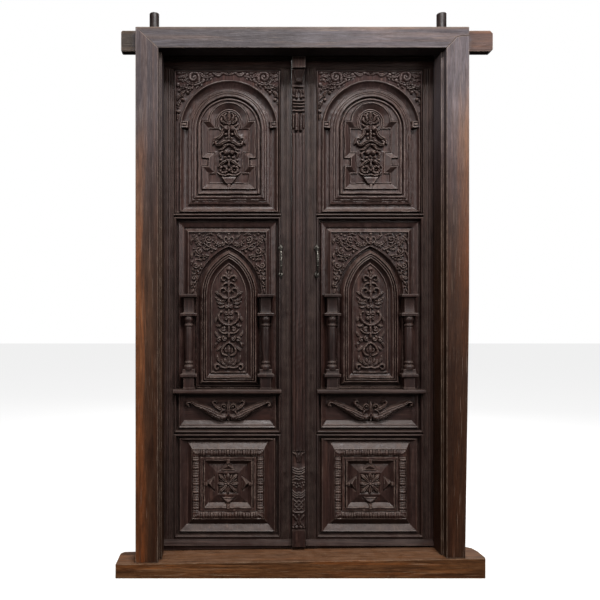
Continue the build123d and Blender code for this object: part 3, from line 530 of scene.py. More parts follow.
def bottom_ornament():
    c = Canvas(-160, 160, 180, 500)
    for i in range(8):
        a = math.radians(22.5 + 45 * i)
        p = lambda r, b=a: (r * math.cos(b), ROSE_Z + r * math.sin(b))
        c.stroke([p(8), p(20), p(29)], (2, 3, 2.4), (4, 5, 3.5))
    for i in range(8):
        a = math.radians(45 * i)
        p = lambda r, b=a: (r * math.cos(b), ROSE_Z + r * math.sin(b))
        reach = 41 if i % 2 else 34
        c.stroke([p(5), p(15), p(reach * 0.72), p(reach - 3)], (2.6, 4.6, 6.8, 3.6), (6, 8, 8.5, 6))
        c.groove([p(12), p(reach * 0.72), p(reach - 5)], 1.5, 2.6)
    c.dab(0, ROSE_Z, 6.5, 9.5)
    for su in (-1, 1):
        for z in (207.5, 473.5):
            c.acanthus([(su * 146, z + (6 if z > 341 else -6) * 1.0), (su * 138, z), (su * 128, z - (7 if z > 341 else -7))], 8, 2.4, 3, 2.6)
    return c.done()


BOT_FRAME = profile([(0, 3), (4.5, 3), (5.5, 12), (7, 12.5), (8, 17), (10, 18.5), (12, 17), (34, 4), (36, 2), (80, 2)], 0.7)
BOT_BLOCK = profile([(-3, 15), (0, 20.5), (1.2, 21), (2.2, 18), (3.5, 18), (16, 22), (27.5, 18), (29.5, 17.5), (30.5, 11), (33, 11), (34, 16.5), (44.5, 17), (45.5, 15), (46.5, 3), (49.5, 3), (60, 3)], 0.5)
BOT_INNER = profile([(-2, 4.5), (34, 4.5), (41, 11), (46, 13), (77, 4.5), (80, 2.5), (83, 3), (96, 16), (98, 20), (103.2, 20.5), (104.4, 6), (106, 1), (130, 1)], 0.7)


def reeds(s):
    x = np.mod(s, 34.0)
    big = 5.4 * np.sqrt(np.clip(1 - ((x - 6.5) / 6.5) ** 2, 0, 1))
    small = 3.2 * np.sqrt(np.clip(1 - ((np.mod(x - 13.6, 6.7) - 3.1) / 3.1) ** 2, 0, 1))
    return np.where(x < 13, big, small)


def bottom_height(X, Z, shift):
    us = X - C - shift
    su = us + wobble(us, Z, 80, 0.5, 31) + wobble(us, Z, 24, 0.2, 32)
    z = Z + wobble(us, Z, 80, 0.5, 33) + wobble(us, Z, 24, 0.2, 34)
    u = np.abs(su)
    e = np.minimum(np.minimum(PANEL_W - np.abs(X - C), (535.2 - Z) * 1.9), Z - 131.8)
    h = BOT_FRAME(np.clip(e, 0, 60))
    f = np.minimum(np.minimum((170 - u) / 18, (517 - z) / 29), (z - 168) / 25)
    h = np.maximum(h, np.where(f > 0, 2 + 17 * np.clip(f, 0, 1), 0))
    bu, bz = 152 - u, np.minimum(488 - z, z - 193)
    b = np.minimum(bu, bz)
    band = BOT_BLOCK(b)
    along = np.where(bz <= bu, su + 7.5, z - ROSE_Z + 7.5)
    corner = (bu < 30) & (bz < 30)
    uneven = wobble(su, z, 60, 0.22, 36)
    band = band + np.where((b > 1.6) & (b < 29.5) & ~corner, reeds(along) * (1 + uneven) * soft(b - 1.6, 3) * soft(29.5 - b, 3) - 3.4, 0)
    h = np.where(b > 0, band, h)
    c = np.maximum(u, np.abs(z - ROSE_Z))
    h = np.where(b > 46, BOT_INNER(c), h)
    # four clips between the rosette and the square frame: wedges that rise outwards, each with a stem
    for a, w in ((np.abs(z - ROSE_Z), u), (u, np.abs(z - ROSE_Z))):
        side = 0.77 * (35 - 0.96 * (a - 59) - w)
        k = np.minimum(side, np.minimum(a - 57, 90 - a))
        wedge = np.minimum(np.where(a < 61, 15, 9.5 + 0.5 * (a - 61)), 4 + 1.0 * side)
        h = np.where((k > 0) & (c < 104), np.maximum(wedge, 3) * soft(k, 1.2) + h * (1 - soft(k, 1.2)), h)
        k = np.minimum(8.5 - w, np.minimum(a - 84, 106 - a))
        h = np.maximum(h, np.where(k > 0, 4 + 19 * soft(k, 3.2), -9))
    orn = ORN_BOTTOM.at(su, z)
    rose = ORN_BOTTOM.at(su / 1.32, ROSE_Z + (z - ROSE_Z) / 1.32)
    h = np.where(c < 56, np.maximum(h, np.where(rose > 0.2, 4.5 + 2.2 * rose, -9)), h)
    h = np.where((b > 0) & corner, h + 1.3 * orn, h)
    h += wobble(us, Z, 40, 0.22, 35)
    return REB - h


# ------------------------------------------------------------------ apron
def apron_ornament():
    c = Canvas(-40, 190, 575, 716)
    base = 10
    c.stroke([(0, 652), (30, 645), (58, 646)], (26, 27, 18), base, 0.25)
    c.stroke([(0, 630), (34, 628)], (14, 14), base, 0.25)
    # long lower leaf that ends in a curl
    c.stroke([(6, 628), (22, 621), (46, 627), (72, 641), (100, 656), (132, 671), (158, 685), (174, 682), (176, 670), (167, 667)],
             (8, 16, 21, 20, 16, 12.5, 8.5, 5.6, 4.6, 3.2), (15, 20, 22, 22, 21, 19, 17, 16, 15, 13), 0.7)
    c.dab(171, 673, 6, 19)
    c.groove([(24, 629), (48, 638), (76, 652), (104, 663), (136, 675), (156, 685)], 2.4, 5)
    c.groove([(24, 614), (48, 617), (76, 632), (104, 649), (134, 666)], 2.0, 4.5)
    c.groove([(34, 621), (60, 632), (86, 647)], 1.6, 3.5)
    # upper leaves
    c.stroke([(22, 652), (40, 657), (55, 668), (66, 685), (57, 691), (49, 684)], (9, 11, 9, 5.5, 4.4, 3), (15, 21, 21.5, 19, 17, 15))
    c.groove([(30, 655), (48, 664), (60, 679)], 2.2, 4.5)
    # scroll with a bead, either side of the middle leaf
    c.spiral(18, 667, 15, 7.5, 270, 0.85, (4.4, 3.6, 2.8), (20, 21, 19), 1)
    c.dab(18, 667, 6.5, 21)
    c.stroke([(18, 652), (30, 646), (36, 634)], (5, 5, 4), (18, 19, 17))
    c.leaf([(0, 612), (0, 638), (0, 664), (0, 690)], 9.5, 21, 0.2)
    c.stroke([(0, 640), (8, 628), (14, 614)], (5, 6, 4), (19, 20, 17))
    return c.done()


def apron_height(X, Z, shift):
    us = X - C - shift
    u = np.abs(us) + wobble(us, Z, 80, 0.9, 41) + wobble(us, Z, 24, 0.3, 42)
    z = Z + wobble(us, Z, 80, 0.9, 43) + wobble(us, Z, 24, 0.3, 44)
    e = np.minimum((PANEL_W - np.abs(X - C)) * 1.25, Z - 572.5)
    h = APRON(np.clip(e, 0, 60))
    orn = ORN_APRON.at(u, z)
    h = np.maximum(h, np.where(orn > 0.2, 4 + 1.1 * orn + cuts(us, Z, orn, 46), -9))
    h += wobble(us, Z, 40, 0.22, 45)
    return REB - h


APRON = profile([(0, 3), (4, 3), (5, 17), (7, 18.5), (9, 17.5), (14, 13.5), (15, 15.5), (17, 15.5), (18, 12), (33, 4), (35, 3), (80, 3)], 0.6)


# ------------------------------------------------------------------ cover strip
def strip_height(X, Z):
    x = X + wobble(X, Z, 160, 0.7, 51)
    z = Z + wobble(X, Z, 60, 0.6, 52)
    a = np.abs(x)
    halfround = lambda m, r: np.sqrt(np.clip(1 - ((a - m) / r) ** 2, 0, 1))
    shaft = np.where(a < 12.5, 15 + 3.2 * halfround(6.2, 6.4), np.where(a < 14.5, 14, np.where(a < 23.5, 15 + 2.4 * halfround(19, 4.6), 14)))
    zone = lambda z0, z1: (z >= z0) & (z < z1)
    # carved capital and foot stand on a lower ground, with the swelling of a baluster
    swell = np.interp(z, (150, 162, 178, 192, 208, 222, 250, 285, 320, 350, 392, 412, 432, 446, 470, 482),
                      (4, 5, 4, 2, 4, 6, 7.5, 6, 5, 4.5, 6, 5, 1.5, 1, 2, 0))
    swell = np.where(z > 1000, np.interp(z, (1815, 1830, 1895, 1906, 1930, 1950, 1975, 2000, 2010, 2018, 2030, 2076, 2084), (0, 2, 4, 5, 6, 5, 4, 3, 4, 2, 4, 7, 7)), swell)
    carved = zone(150, 482) | zone(1815, 2086)
    ground = 9.5 + swell * np.sqrt(np.clip(1 - (a / 27) ** 2, 0, 1))
    trap = zone(2026, 2080) & (a < 10 + 12 * np.clip((z - 2026) / 52, 0, 1))
    ground = np.where(trap, 19.5, ground)
    orn = ORN_STRIP.at(a, z)
    h = np.where(carved, ground + np.where(z > 1000, 0.95, 0.62) * orn + 0.7 * cuts(X, Z, orn, 54), shaft)
    # plain blocks at both ends
    h = np.where((z < 154) | (z > 2084), 27.4, h)
    end = np.minimum(26.3 - np.abs(X), np.minimum(Z - 84, 2132 - Z))
    h -= 2.2 * np.clip(1 - end / 2.2, 0, 1) ** 2
    h += wobble(X, Z, 22, 0.2, 53)
    return FACE - np.clip(h, 3, 27.8)


def strip_ornament():
    c = Canvas(-28, 30, 150, 2092, 0.8)
    # capital: neck, collar, leaves with drops, rings, long tongues
    c.stroke([(21, 2078), (15, 2052), (10, 2030)], (3.2, 3.2, 3.2), (4.5, 4.5, 4.5))
    c.stroke([(0, 2025), (11, 2026)], (4.6, 4.4), (9, 8.5))
    c.stroke([(0, 2008), (17, 2008)], (4.4, 3.8), (9, 8))
    c.leaf([(3, 1998), (8, 1986), (9, 1972)], 5.5, 9)
    c.leaf([(15, 1999), (18, 1988), (18, 1976)], 4.5, 8)
    c.stroke([(9, 1978), (9, 1963)], (4, 6.4), (8, 11))
    c.dab(20, 1967, 5, 8.5)
    for z, r in ((1947, 3.8), (1935, 4.6), (1922, 4.4), (1906, 5)):
        c.stroke([(0, z), (12, z + 0.5), (22, z + 2)], (r, r, r * 0.8), (9, 9, 7))
    c.stroke([(9, 1894), (9, 1862), (9, 1829)], (5.6, 6.2, 7), (8, 9, 11.5))
    c.stroke([(20.5, 1890), (20.5, 1838)], (3.4, 3.8), (6, 7))
    # foot: balls, crossed leaves, rim, lattice bowl, garlands, rings, forked tips
    c.dab(9, 164, 7, 9.5)
    c.dab(22, 162, 5.5, 8)
    c.stroke([(21, 212), (12, 200), (6, 190), (10, 178), (18, 170)], (4.6, 5, 4.6, 5, 4.6), (7, 8, 8.5, 8, 7))
    c.stroke([(0, 214), (0, 176)], (4.5, 5, 4), (7, 8, 7))
    c.stroke([(0, 225), (16, 226), (24, 232)], (4.6, 4.6, 3.6), (9.5, 9, 8))
    c.stroke([(24, 236), (25, 258), (23, 280)], (3, 3.4, 3), (7, 7.5, 7))
    for z in (246, 266):
        c.stroke([(0, z - 9), (9, z), (0, z + 9)], 2.2, 6)
        c.stroke([(18, z - 9), (9, z), (18, z + 9)], 2.2, 6)
    for k in range(3):
        z = 288 + 9.5 * k
        c.stroke([(0, z + 2), (9, z - 1), (19, z + 4), (26, z + 11)], (2.8, 3.2, 3, 2.2), (7, 8, 7, 5))
    for u, z in ((0, 335), (10, 331), (20, 338), (5, 345), (15, 348), (24, 350)):
        c.dab(u, z, 3.6, 7)
    for z in (362, 373):
        c.stroke([(0, z), (12, z + 4), (25, z - 2)], (2.6, 3, 2.2), (6.5, 7, 5))
    for z in (388, 398, 408):
        c.stroke([(0, z - 2), (12, z), (25, z + 6)], (3, 3.2, 2.4), (8, 8, 6))
    c.stroke([(4, 436), (7, 454), (12, 467), (23, 477)], (3.6, 4.2, 4.2, 2.8), (7, 9, 10, 9))
    c.stroke([(0, 440), (0, 468)], (2.6, 3.6, 2.4), (7, 8, 6))
    return c.done()


# ------------------------------------------------------------------ materials
def link(nt, a, b):
    nt.links.new(a, b)


def wood(name, axis, dark, mid, light, dust_and_top_light_colour, wear_and_highlight_colour, dust_and_top_light_amount=0.6, wear_and_highlight_amount=0.5, rough=(0.36, 0.58), bump=0.35, tint=(), spec=0.35, stain=0.0, scratch=0.0, under=0.6, carved=False):
    """Old oiled timber: streaked grain along one axis, dust on what faces up that also paints top light, painted shade
    on what faces down, rubbed arrises that on carving also paint highlights, painted shade in the hollows, stains and
    scratches, and tints by place, some of them painted light and shade.
    """
    m = bpy.data.materials.new(name)
    m.use_nodes = True
    nt = m.node_tree
    N = nt.nodes
    N.clear()
    out = N.new("ShaderNodeOutputMaterial")
    bs = N.new("ShaderNodeBsdfPrincipled")
    link(nt, bs.outputs[0], out.inputs[0])
    bs.inputs["Specular IOR Level"].default_value = spec
    tc = N.new("ShaderNodeTexCoord")

    def along(k, off=0.0):
        """Coordinates drawn out along the grain."""
        x = N.new("ShaderNodeMapping")
        x.inputs["Location"].default_value = (off, off, off)
        x.inputs["Scale"].default_value = (1, 1, k) if axis == "Z" else (k, 1, 1)
        link(nt, tc.outputs["Object"], x.inputs[0])
        return x

    mp = along(0.055)

    def noise(vec, scale, detail=4.0, rg=0.6, dist=0.0):
        n = N.new("ShaderNodeTexNoise")
        n.inputs["Scale"].default_value = scale
        n.inputs["Detail"].default_value = detail
        n.inputs["Roughness"].default_value = rg
        n.inputs["Distortion"].default_value = dist
        link(nt, vec, n.inputs["Vector"])
        return n.outputs[0]

    def ramp(fac, *stops):
        r = N.new("ShaderNodeValToRGB")
        e = r.color_ramp.elements
        while len(e) < len(stops):
            e.new(0.5)
        for el, (pos, col) in zip(e, stops):
            el.position = pos
            el.color = (*col, 1) if len(np.atleast_1d(col)) == 3 else (col, col, col, 1)
        link(nt, fac, r.inputs[0])
        return r.outputs[0]

    def mix(fac, a, b, mode="MIX"):
        x = N.new("ShaderNodeMix")
        x.data_type = "RGBA"
        x.blend_type = mode
        for src, sock in ((fac, 0), (a, 6), (b, 7)):
            if hasattr(src, "is_linked"):
                link(nt, src, x.inputs[sock])
            elif sock == 0:
                x.inputs[0].default_value = src
            else:
                x.inputs[sock].default_value = (*src, 1)
        return x.outputs[2]

    def math_(op, a, b=0.0, c=None):
        x = N.new("ShaderNodeMath")
        x.operation = op
        for i, s in enumerate((a, b, c)):
            if s is None:
                continue
            if hasattr(s, "is_linked"):
                link(nt, s, x.inputs[i])
            else:
                x.inputs[i].default_value = s
        return x.outputs[0]

    fine = noise(mp.outputs[0], 330, 5, 0.65, 0.6)
    streak = noise(mp.outputs[0], 75, 4, 0.6, 1.2)
    broad = noise(tc.outputs["Object"], 5.5, 4, 0.6)
    blotch = noise(tc.outputs["Object"], 24, 4, 0.65)
    pores = noise(mp.outputs[0], 900, 2, 0.5)

    col = mix(ramp(fine, (0.32, 0.0), (0.68, 1.0)), dark, mid)
    col = mix(ramp(streak, (0.52, 0.0), (0.74, 0.75)), col, light)
    col = mix(0.55, col, ramp(broad, (0.3, (0.62, 0.60, 0.60)), (0.7, (1.28, 1.26, 1.24))), "MULTIPLY")
    col = mix(0.5, col, ramp(pores, (0.36, (0.55, 0.52, 0.5)), (0.46, (1.0, 1.0, 1.0))), "MULTIPLY")
    drawn = noise(along(0.07).outputs[0], 34, 5, 0.6, 0.8)
    if stain:
        pale = noise(along(0.05, 3.7).outputs[0], 40, 5, 0.62, 0.6)
        col = mix(math_("MULTIPLY", ramp(pale, (0.50, 0.0), (0.66, 1.0)), stain), col, mix(1.0, col, (1.9, 1.55, 1.2), "MULTIPLY"))
        col = mix(math_("MULTIPLY", ramp(drawn, (0.48, 0.0), (0.64, 1.0)), stain), col, mix(1.0, col, (0.36, 0.31, 0.31), "MULTIPLY"))
    geo = N.new("ShaderNodeNewGeometry")
    sx = N.new("ShaderNodeSeparateXYZ")
    link(nt, geo.outputs["Normal"], sx.inputs[0])
    # faces turned up are lightened: partly real dust, partly painted light from above
    up = ramp(sx.outputs[2], (0.06, 0.0), (0.62, 1.0))
    down = ramp(math_("MULTIPLY", sx.outputs[2], -1.0), (0.08, 0.0), (0.6, 1.0))
    dust_and_top_light = math_("MULTIPLY", math_("MULTIPLY", up, ramp(math_("ADD", math_("MULTIPLY", blotch, 0.5), math_("MULTIPLY", streak, 0.5)), (0.36, 0.12), (0.62, 1.0))), dust_and_top_light_amount)
    if tint:
        pos = N.new("ShaderNodeSeparateXYZ")
        link(nt, tc.outputs["Object"], pos.inputs[0])
        def zone(kind, lo, hi):
            """0 to 1 between two places along an axis, with a ragged edge."""
            src = pos.outputs[2] if kind == "Z" else pos.outputs[0]
            ragged = 0.22 * abs(hi - lo) if kind == "Z" else 0.075
            jitter = math_("ADD", src, math_("MULTIPLY", math_("SUBTRACT", broad if kind == "Z" else drawn, 0.5), ragged))
            mr = N.new("ShaderNodeMapRange")
            mr.interpolation_type = "SMOOTHSTEP"
            mr.inputs[1].default_value = lo
            mr.inputs[2].default_value = hi
            link(nt, jitter, mr.inputs[0])
            return mr.outputs[0]

    def tinted(col):
        for kind, lo, hi, colr, amt, *within in tint:
            fac = math_("MULTIPLY", zone(kind, lo, hi), amt)
            for gate in within:
                fac = math_("MULTIPLY", fac, zone(*gate))
            col = mix(fac, col, mix(1.0, col, colr, "MULTIPLY"))
        return col

    if not carved:
        col = tinted(col)
    # rubbed arrises: by curvature on dense carving, by rounded normals on plain boards; on carving the pale edges also
    # paint highlights
    if carved:
        point = ramp(geo.outputs["Pointiness"], (0.512, 0.0), (0.56, 1.0))
    else:
        bevel = N.new("ShaderNodeBevel")
        bevel.samples = 4
        bevel.inputs["Radius"].default_value = 0.006
        dot = N.new("ShaderNodeVectorMath")
        dot.operation = "DOT_PRODUCT"
        link(nt, bevel.outputs[0], dot.inputs[0])
        link(nt, geo.outputs["True Normal"], dot.inputs[1])
        point = ramp(math_("SUBTRACT", 1.0, dot.outputs["Value"]), (0.01, 0.0), (0.14, 1.0))
    # on carving the pale edges are kept to faces turned to the front, where they act as painted highlight
    if carved:
        own = N.new("ShaderNodeSeparateXYZ")
        link(nt, tc.outputs["Normal"], own.inputs[0])
        point = math_("MULTIPLY", point, ramp(math_("MULTIPLY", own.outputs[1], -1.0), (0.0, 0.0), (0.2, 1.0)))
    wear_and_highlight = math_("MULTIPLY", math_("MULTIPLY", point, ramp(blotch, (0.34, 0.15), (0.66, 1.0))), wear_and_highlight_amount)
    col = mix(wear_and_highlight, col, wear_and_highlight_colour)
    if scratch:
        lines = noise(along(0.012, 1.3).outputs[0], 430, 3, 0.5, 0.4)
        specks = noise(tc.outputs["Object"], 170, 3, 0.6)
        col = mix(math_("MULTIPLY", ramp(lines, (0.655, 0.0), (0.70, 1.0)), scratch), col, wear_and_highlight_colour)
        col = mix(math_("MULTIPLY", ramp(specks, (0.70, 0.0), (0.75, 1.0)), scratch), col, wear_and_highlight_colour)
    # dust colour on upward faces, which also stands in for painted top light
    col = mix(dust_and_top_light, col, dust_and_top_light_colour)
    # painted shade: faces turned down are darkened to about a fifth of their colour, by the amount under
    col = mix(math_("MULTIPLY", down, under), col, mix(1.0, col, (0.22, 0.20, 0.20), "MULTIPLY"))
    # on carving the tints by place come last, so painted light also brightens the pale edges as painted highlight
    if carved:
        col = tinted(col)
    # painted shade: hollows and crevices darkened by ambient occlusion
    ao = N.new("ShaderNodeAmbientOcclusion")
    ao.samples = 4
    ao.inputs["Distance"].default_value = 0.014
    hollow_shade = ramp(ao.outputs["AO"], (0.25, (0.42, 0.38, 0.36)), (0.85, (1.0, 1.0, 1.0)))
    col = mix(0.75 if carved else 0.85, col, hollow_shade, "MULTIPLY")
    link(nt, col, bs.inputs["Base Color"])
    rg = N.new("ShaderNodeMapRange")
    rg.inputs[1].default_value, rg.inputs[2].default_value = 0.3, 0.7
    rg.inputs[3].default_value, rg.inputs[4].default_value = rough
    link(nt, math_("ADD", math_("MULTIPLY", blotch, 0.6), math_("MULTIPLY", streak, 0.4)), rg.inputs[0])
    link(nt, math_("ADD", rg.outputs[0], math_("MULTIPLY", dust_and_top_light, 0.25)), bs.inputs["Roughness"])
    h = math_("ADD", math_("MULTIPLY", fine, 0.5), math_("ADD", math_("MULTIPLY", streak, 0.6), math_("MULTIPLY", blotch, 0.7)))
    b = N.new("ShaderNodeBump")
    b.inputs["Strength"].default_value = bump
    b.inputs["Distance"].default_value = 0.0022
    link(nt, h, b.inputs["Height"])
    link(nt, b.outputs[0], bs.inputs["Normal"])
    return m


def metal(name, base, patina, rough, metallic):
    m = bpy.data.materials.new(name)
    m.use_nodes = True
    nt = m.node_tree
    N = nt.nodes
    bs = N["Principled BSDF"]
    bs.inputs["Metallic"].default_value = metallic
    tc = N.new("ShaderNodeTexCoord")
    n = N.new("ShaderNodeTexNoise")
    n.inputs["Scale"].default_value = 160
    n.inputs["Detail"].default_value = 5
    link(nt, tc.outputs["Object"], n.inputs["Vector"])
    r = N.new("ShaderNodeValToRGB")
    r.color_ramp.elements[0].position, r.color_ramp.elements[1].position = 0.38, 0.66
    r.color_ramp.elements[0].color, r.color_ramp.elements[1].color = (*patina, 1), (*base, 1)
    link(nt, n.outputs[0], r.inputs[0])
    link(nt, r.outputs[0], bs.inputs["Base Color"])
    mr = N.new("ShaderNodeMapRange")
    mr.inputs[3].default_value, mr.inputs[4].default_value = rough[1], rough[0]
    link(nt, n.outputs[0], mr.inputs[0])
    link(nt, mr.outputs[0], bs.inputs["Roughness"])
    b = N.new("ShaderNodeBump")
    b.inputs["Strength"].default_value = 0.25
    b.inputs["Distance"].default_value = 0.0006
    link(nt, n.outputs[0], b.inputs["Height"])
    link(nt, b.outputs[0], bs.inputs["Normal"])
    return m


# in these timber settings the up-facing dust colour also paints top light, under sets the painted shade on faces turned
# down, and on carving the edge-wear colour also paints highlights
LEAF = dict(dark=(0.0105, 0.0049, 0.0041), mid=(0.036, 0.0168, 0.0138), light=(0.064, 0.034, 0.027), dust_and_top_light_colour=(0.124, 0.093, 0.077), wear_and_highlight_colour=(0.165, 0.118, 0.098), dust_and_top_light_amount=0.36, stain=0.3, spec=0.26)
PLAIN = {**LEAF, "dark": (0.0088, 0.0041, 0.0034), "mid": (0.029, 0.0134, 0.0110), "light": (0.052, 0.0270, 0.0215)}
FRAME = dict(dark=(0.040, 0.0195, 0.0108), mid=(0.086, 0.044, 0.025), light=(0.120, 0.067, 0.040), dust_and_top_light_colour=(0.22, 0.185, 0.165), wear_and_highlight_colour=(0.30, 0.225, 0.17), wear_and_highlight_amount=0.85, stain=0.45, scratch=0.5, bump=0.6, spec=0.14, under=0.92)
# painted light: the carved leaf is lightened strongly at the top, where the head's shadow falls, and a little above
# 1.36 m and below 0.53 m
leaf_painted_light = [("Z", 1.985, 2.045, (3.7, 4.4, 4.9), 1.0), ("Z", 1.22, 1.36, (1.15, 1.20, 1.24), 1.0), ("Z", 0.57, 0.53, (1.16, 1.18, 1.17), 1.0)]
CARVED = {**LEAF, "carved": True, "wear_and_highlight_amount": 0.64, "rough": (0.31, 0.50), "spec": 0.28}
leaf_v = wood("carved_wood_upright", "Z", tint=leaf_painted_light, **CARVED)
leaf_h = wood("carved_wood_level", "X", **CARVED)
plain_v = wood("leaf_wood_upright", "Z", tint=[("Z", 2.19, 2.22, (0.5, 0.62, 0.7), 1.0), ("X", -0.20, -0.14, (0.66, 0.62, 0.62), 1.0, ("X", 0.20, 0.14))], wear_and_highlight_amount=0.35, **PLAIN)
plain_h = wood("leaf_wood_level", "X", wear_and_highlight_amount=0.35, **PLAIN)
# the top block of the cover strip is lightened to grey: partly dust, partly painted light
strip_v = wood("strip_wood", "Z", tint=[("Z", 2.083, 2.090, (4.2, 5.8, 6.4), 1.0)], carved=True, wear_and_highlight_amount=0.35, **PLAIN)
# upper frame turned grey-blue: partly the wood's tone, partly painted sheen of the light from above
grey_top_sheen = ("Z", 1.15, 1.98, (1.0, 1.70, 3.15), 1.0)
# jamb tints: darker towards the bottom, the lower right jamb darker, painted light on the upper right jamb and painted
# shade on the upper left jamb, a worn tan streak and a honey streak near the outer edges with darker strips beside them
jamb_tint = [grey_top_sheen, ("Z", 1.2, 0.35, (0.80, 0.72, 0.64), 1.0), ("X", 0.50, 0.56, (0.92, 0.88, 0.85), 1.0, ("Z", 1.2, 0.9)),
             ("X", 0.50, 0.56, (1.42, 1.38, 1.42), 1.0, ("Z", 1.3, 1.8)), ("X", -0.50, -0.56, (0.80, 0.74, 0.75), 1.0, ("Z", 1.4, 1.8)),
             ("X", -0.620, -0.648, (2.3, 1.72, 1.15), 0.9, ("Z", 1.86, 1.60)), ("X", -0.618, -0.592, (0.58, 0.54, 0.56), 0.9, ("Z", 1.86, 1.60)),
             ("X", 0.605, 0.655, (1.9, 1.35, 0.80), 0.9, ("Z", 2.00, 1.70), ("Z", 0.80, 1.20)), ("X", 0.628, 0.600, (0.74, 0.70, 0.70), 0.85, ("Z", 1.86, 1.60))]
frame_v = wood("frame_wood_upright", "Z", tint=jamb_tint, **FRAME)
# head tints: grey-blue top sheen, darker above 2.08 m, painted light towards the right, a pale worn top edge, the right
# horn warmer and the left horn darker as painted shade
frame_h = wood("frame_wood_level", "X", tint=[grey_top_sheen, ("Z", 2.05, 2.08, (0.86, 0.86, 0.88), 1.0), ("X", -0.2, 0.4, (1.34, 1.32, 1.34), 1.0), ("Z", 2.186, 2.203, (1.5, 1.22, 0.90), 0.9),
                                              ("X", 0.668, 0.69, (1.0, 0.72, 0.55), 1.0), ("X", -0.668, -0.69, (0.70, 0.64, 0.50), 1.0)], **FRAME)
sill_w = wood("threshold_wood", "X", dark=(0.044, 0.0165, 0.0058), mid=(0.118, 0.050, 0.0185), light=(0.21, 0.105, 0.048), dust_and_top_light_colour=(0.18, 0.105, 0.068), wear_and_highlight_colour=(0.34, 0.235, 0.15), dust_and_top_light_amount=0.5, wear_and_highlight_amount=0.8, stain=0.8, scratch=0.6, bump=0.6, spec=0.14)
brass = metal("pull_metal", (0.14, 0.130, 0.112), (0.020, 0.0185, 0.0165), (0.24, 0.45), 0.82)
iron = metal("nail_iron", (0.08, 0.055, 0.04), (0.03, 0.025, 0.022), (0.5, 0.8), 0.5)

# ------------------------------------------------------------------ CAD pieces keep their shape and get timber and rounded arrises
LEVEL = ("rail", "ledge", "apron", "lintel", "horn")
for name, ob in nodes.items():
    ob.data.materials.clear()
    if name == "threshold":
        mat, width = sill_w, 5.0
    elif name == "lintel":
        mat, width = frame_h, 3.0
    elif name in ("left_jamb", "right_jamb", "frame_pegs"):
        mat, width = frame_v, 2.6
    elif name.endswith("pull_handle"):
        mat, width = brass, 0.7
    elif name.endswith("pull_nails"):
        mat, width = iron, 0.5
    else:
        level = any(k in name for k in LEVEL)
        mat, width = (plain_h if level else plain_v), 1.3
        if "colonnette" in name or name.endswith("ledge"):
            width = 2.0
        elif "meeting_stile" in name:
            width = 0.4
    ob.data.materials.append(mat)
    for p in ob.data.polygons:
        p.material_index = 0
    w = ob.modifiers.new("weld", "WELD")
    w.merge_threshold = 0.00001
    bv = ob.modifiers.new("arris", "BEVEL")
    bv.width = width * MM
    bv.segments = 3
    bv.limit_method = "ANGLE"
    bv.angle_limit = math.radians(35)
    bv.harden_normals = False

# ------------------------------------------------------------------ carved pieces
ORN_UPPER, ORN_MIDDLE, ORN_BOTTOM, ORN_APRON, ORN_STRIP = upper_ornament(), middle_ornament(), bottom_ornament(), apron_ornament(), strip_ornament()
STEP = 1.45
NARROW = [(0, 0, 0, REB), (9.5, 9.5, 9.5, REB), (9.5, 9.5, 9.5, 158)]
WIDE = [(0, 0, 0, REB), (25.7, 9.5, 26, REB), (25.7, 9.5, 26, 158)]
for name, z0, z1, w, fn, shifts, ratio, backs, gone in (
        ("upper_panel", 1486.5, 2087.7, 225.2, upper_height, (7.0, 6.0), 0.46, WIDE, ("upper_panel",)),
        ("middle_panel", 741.5, 1449.2, PANEL_W, middle_height, (6.5, 5.0), 0.44, NARROW, ("middle_panel",)),
        ("bottom_panel", 131.8, 535.2, PANEL_W, bottom_height, (3.5, 3.0), 0.52, NARROW, ("bottom_panel",)),
        ("apron_panel", 572.5, 721.5, PANEL_W, apron_height, (5.0, 4.0), 0.6, NARROW, ("apron_panel", "apron_carving"))):
    for side, sx, shift in (("left", 1.0, shifts[0]), ("right", -1.0, shifts[1])):
        v, f = relief(C - w, C + w, z0, z1, STEP, STEP, lambda X, Z: fn(X, Z, sx * shift), backs)
        v, f = reduce(v, f, ratio)
        me = build_mesh(side + "_carved_" + name, v * [sx, 1, 1], f, 50, sx < 0)
        place(side + "_carved_" + name, me, side + "_leaf", "leaf_wood", leaf_h if name == "apron_panel" else leaf_v, *[side + "_" + n for n in gone])

v, f = relief(-26.3, 26.3, 84, 2132, 1.1, 1.6, strip_height, [(0, 0, 0, FACE)])
v, f = reduce(v, f, 0.5)
v[:, 0] = np.where(v[:, 0] < 0, v[:, 0] * 1.095, v[:, 0])
me = build_mesh("carved_cover_strip", v, f, 50)
place("carved_cover_strip", me, "right_leaf", "leaf_wood", strip_v, "right_cover_strip")


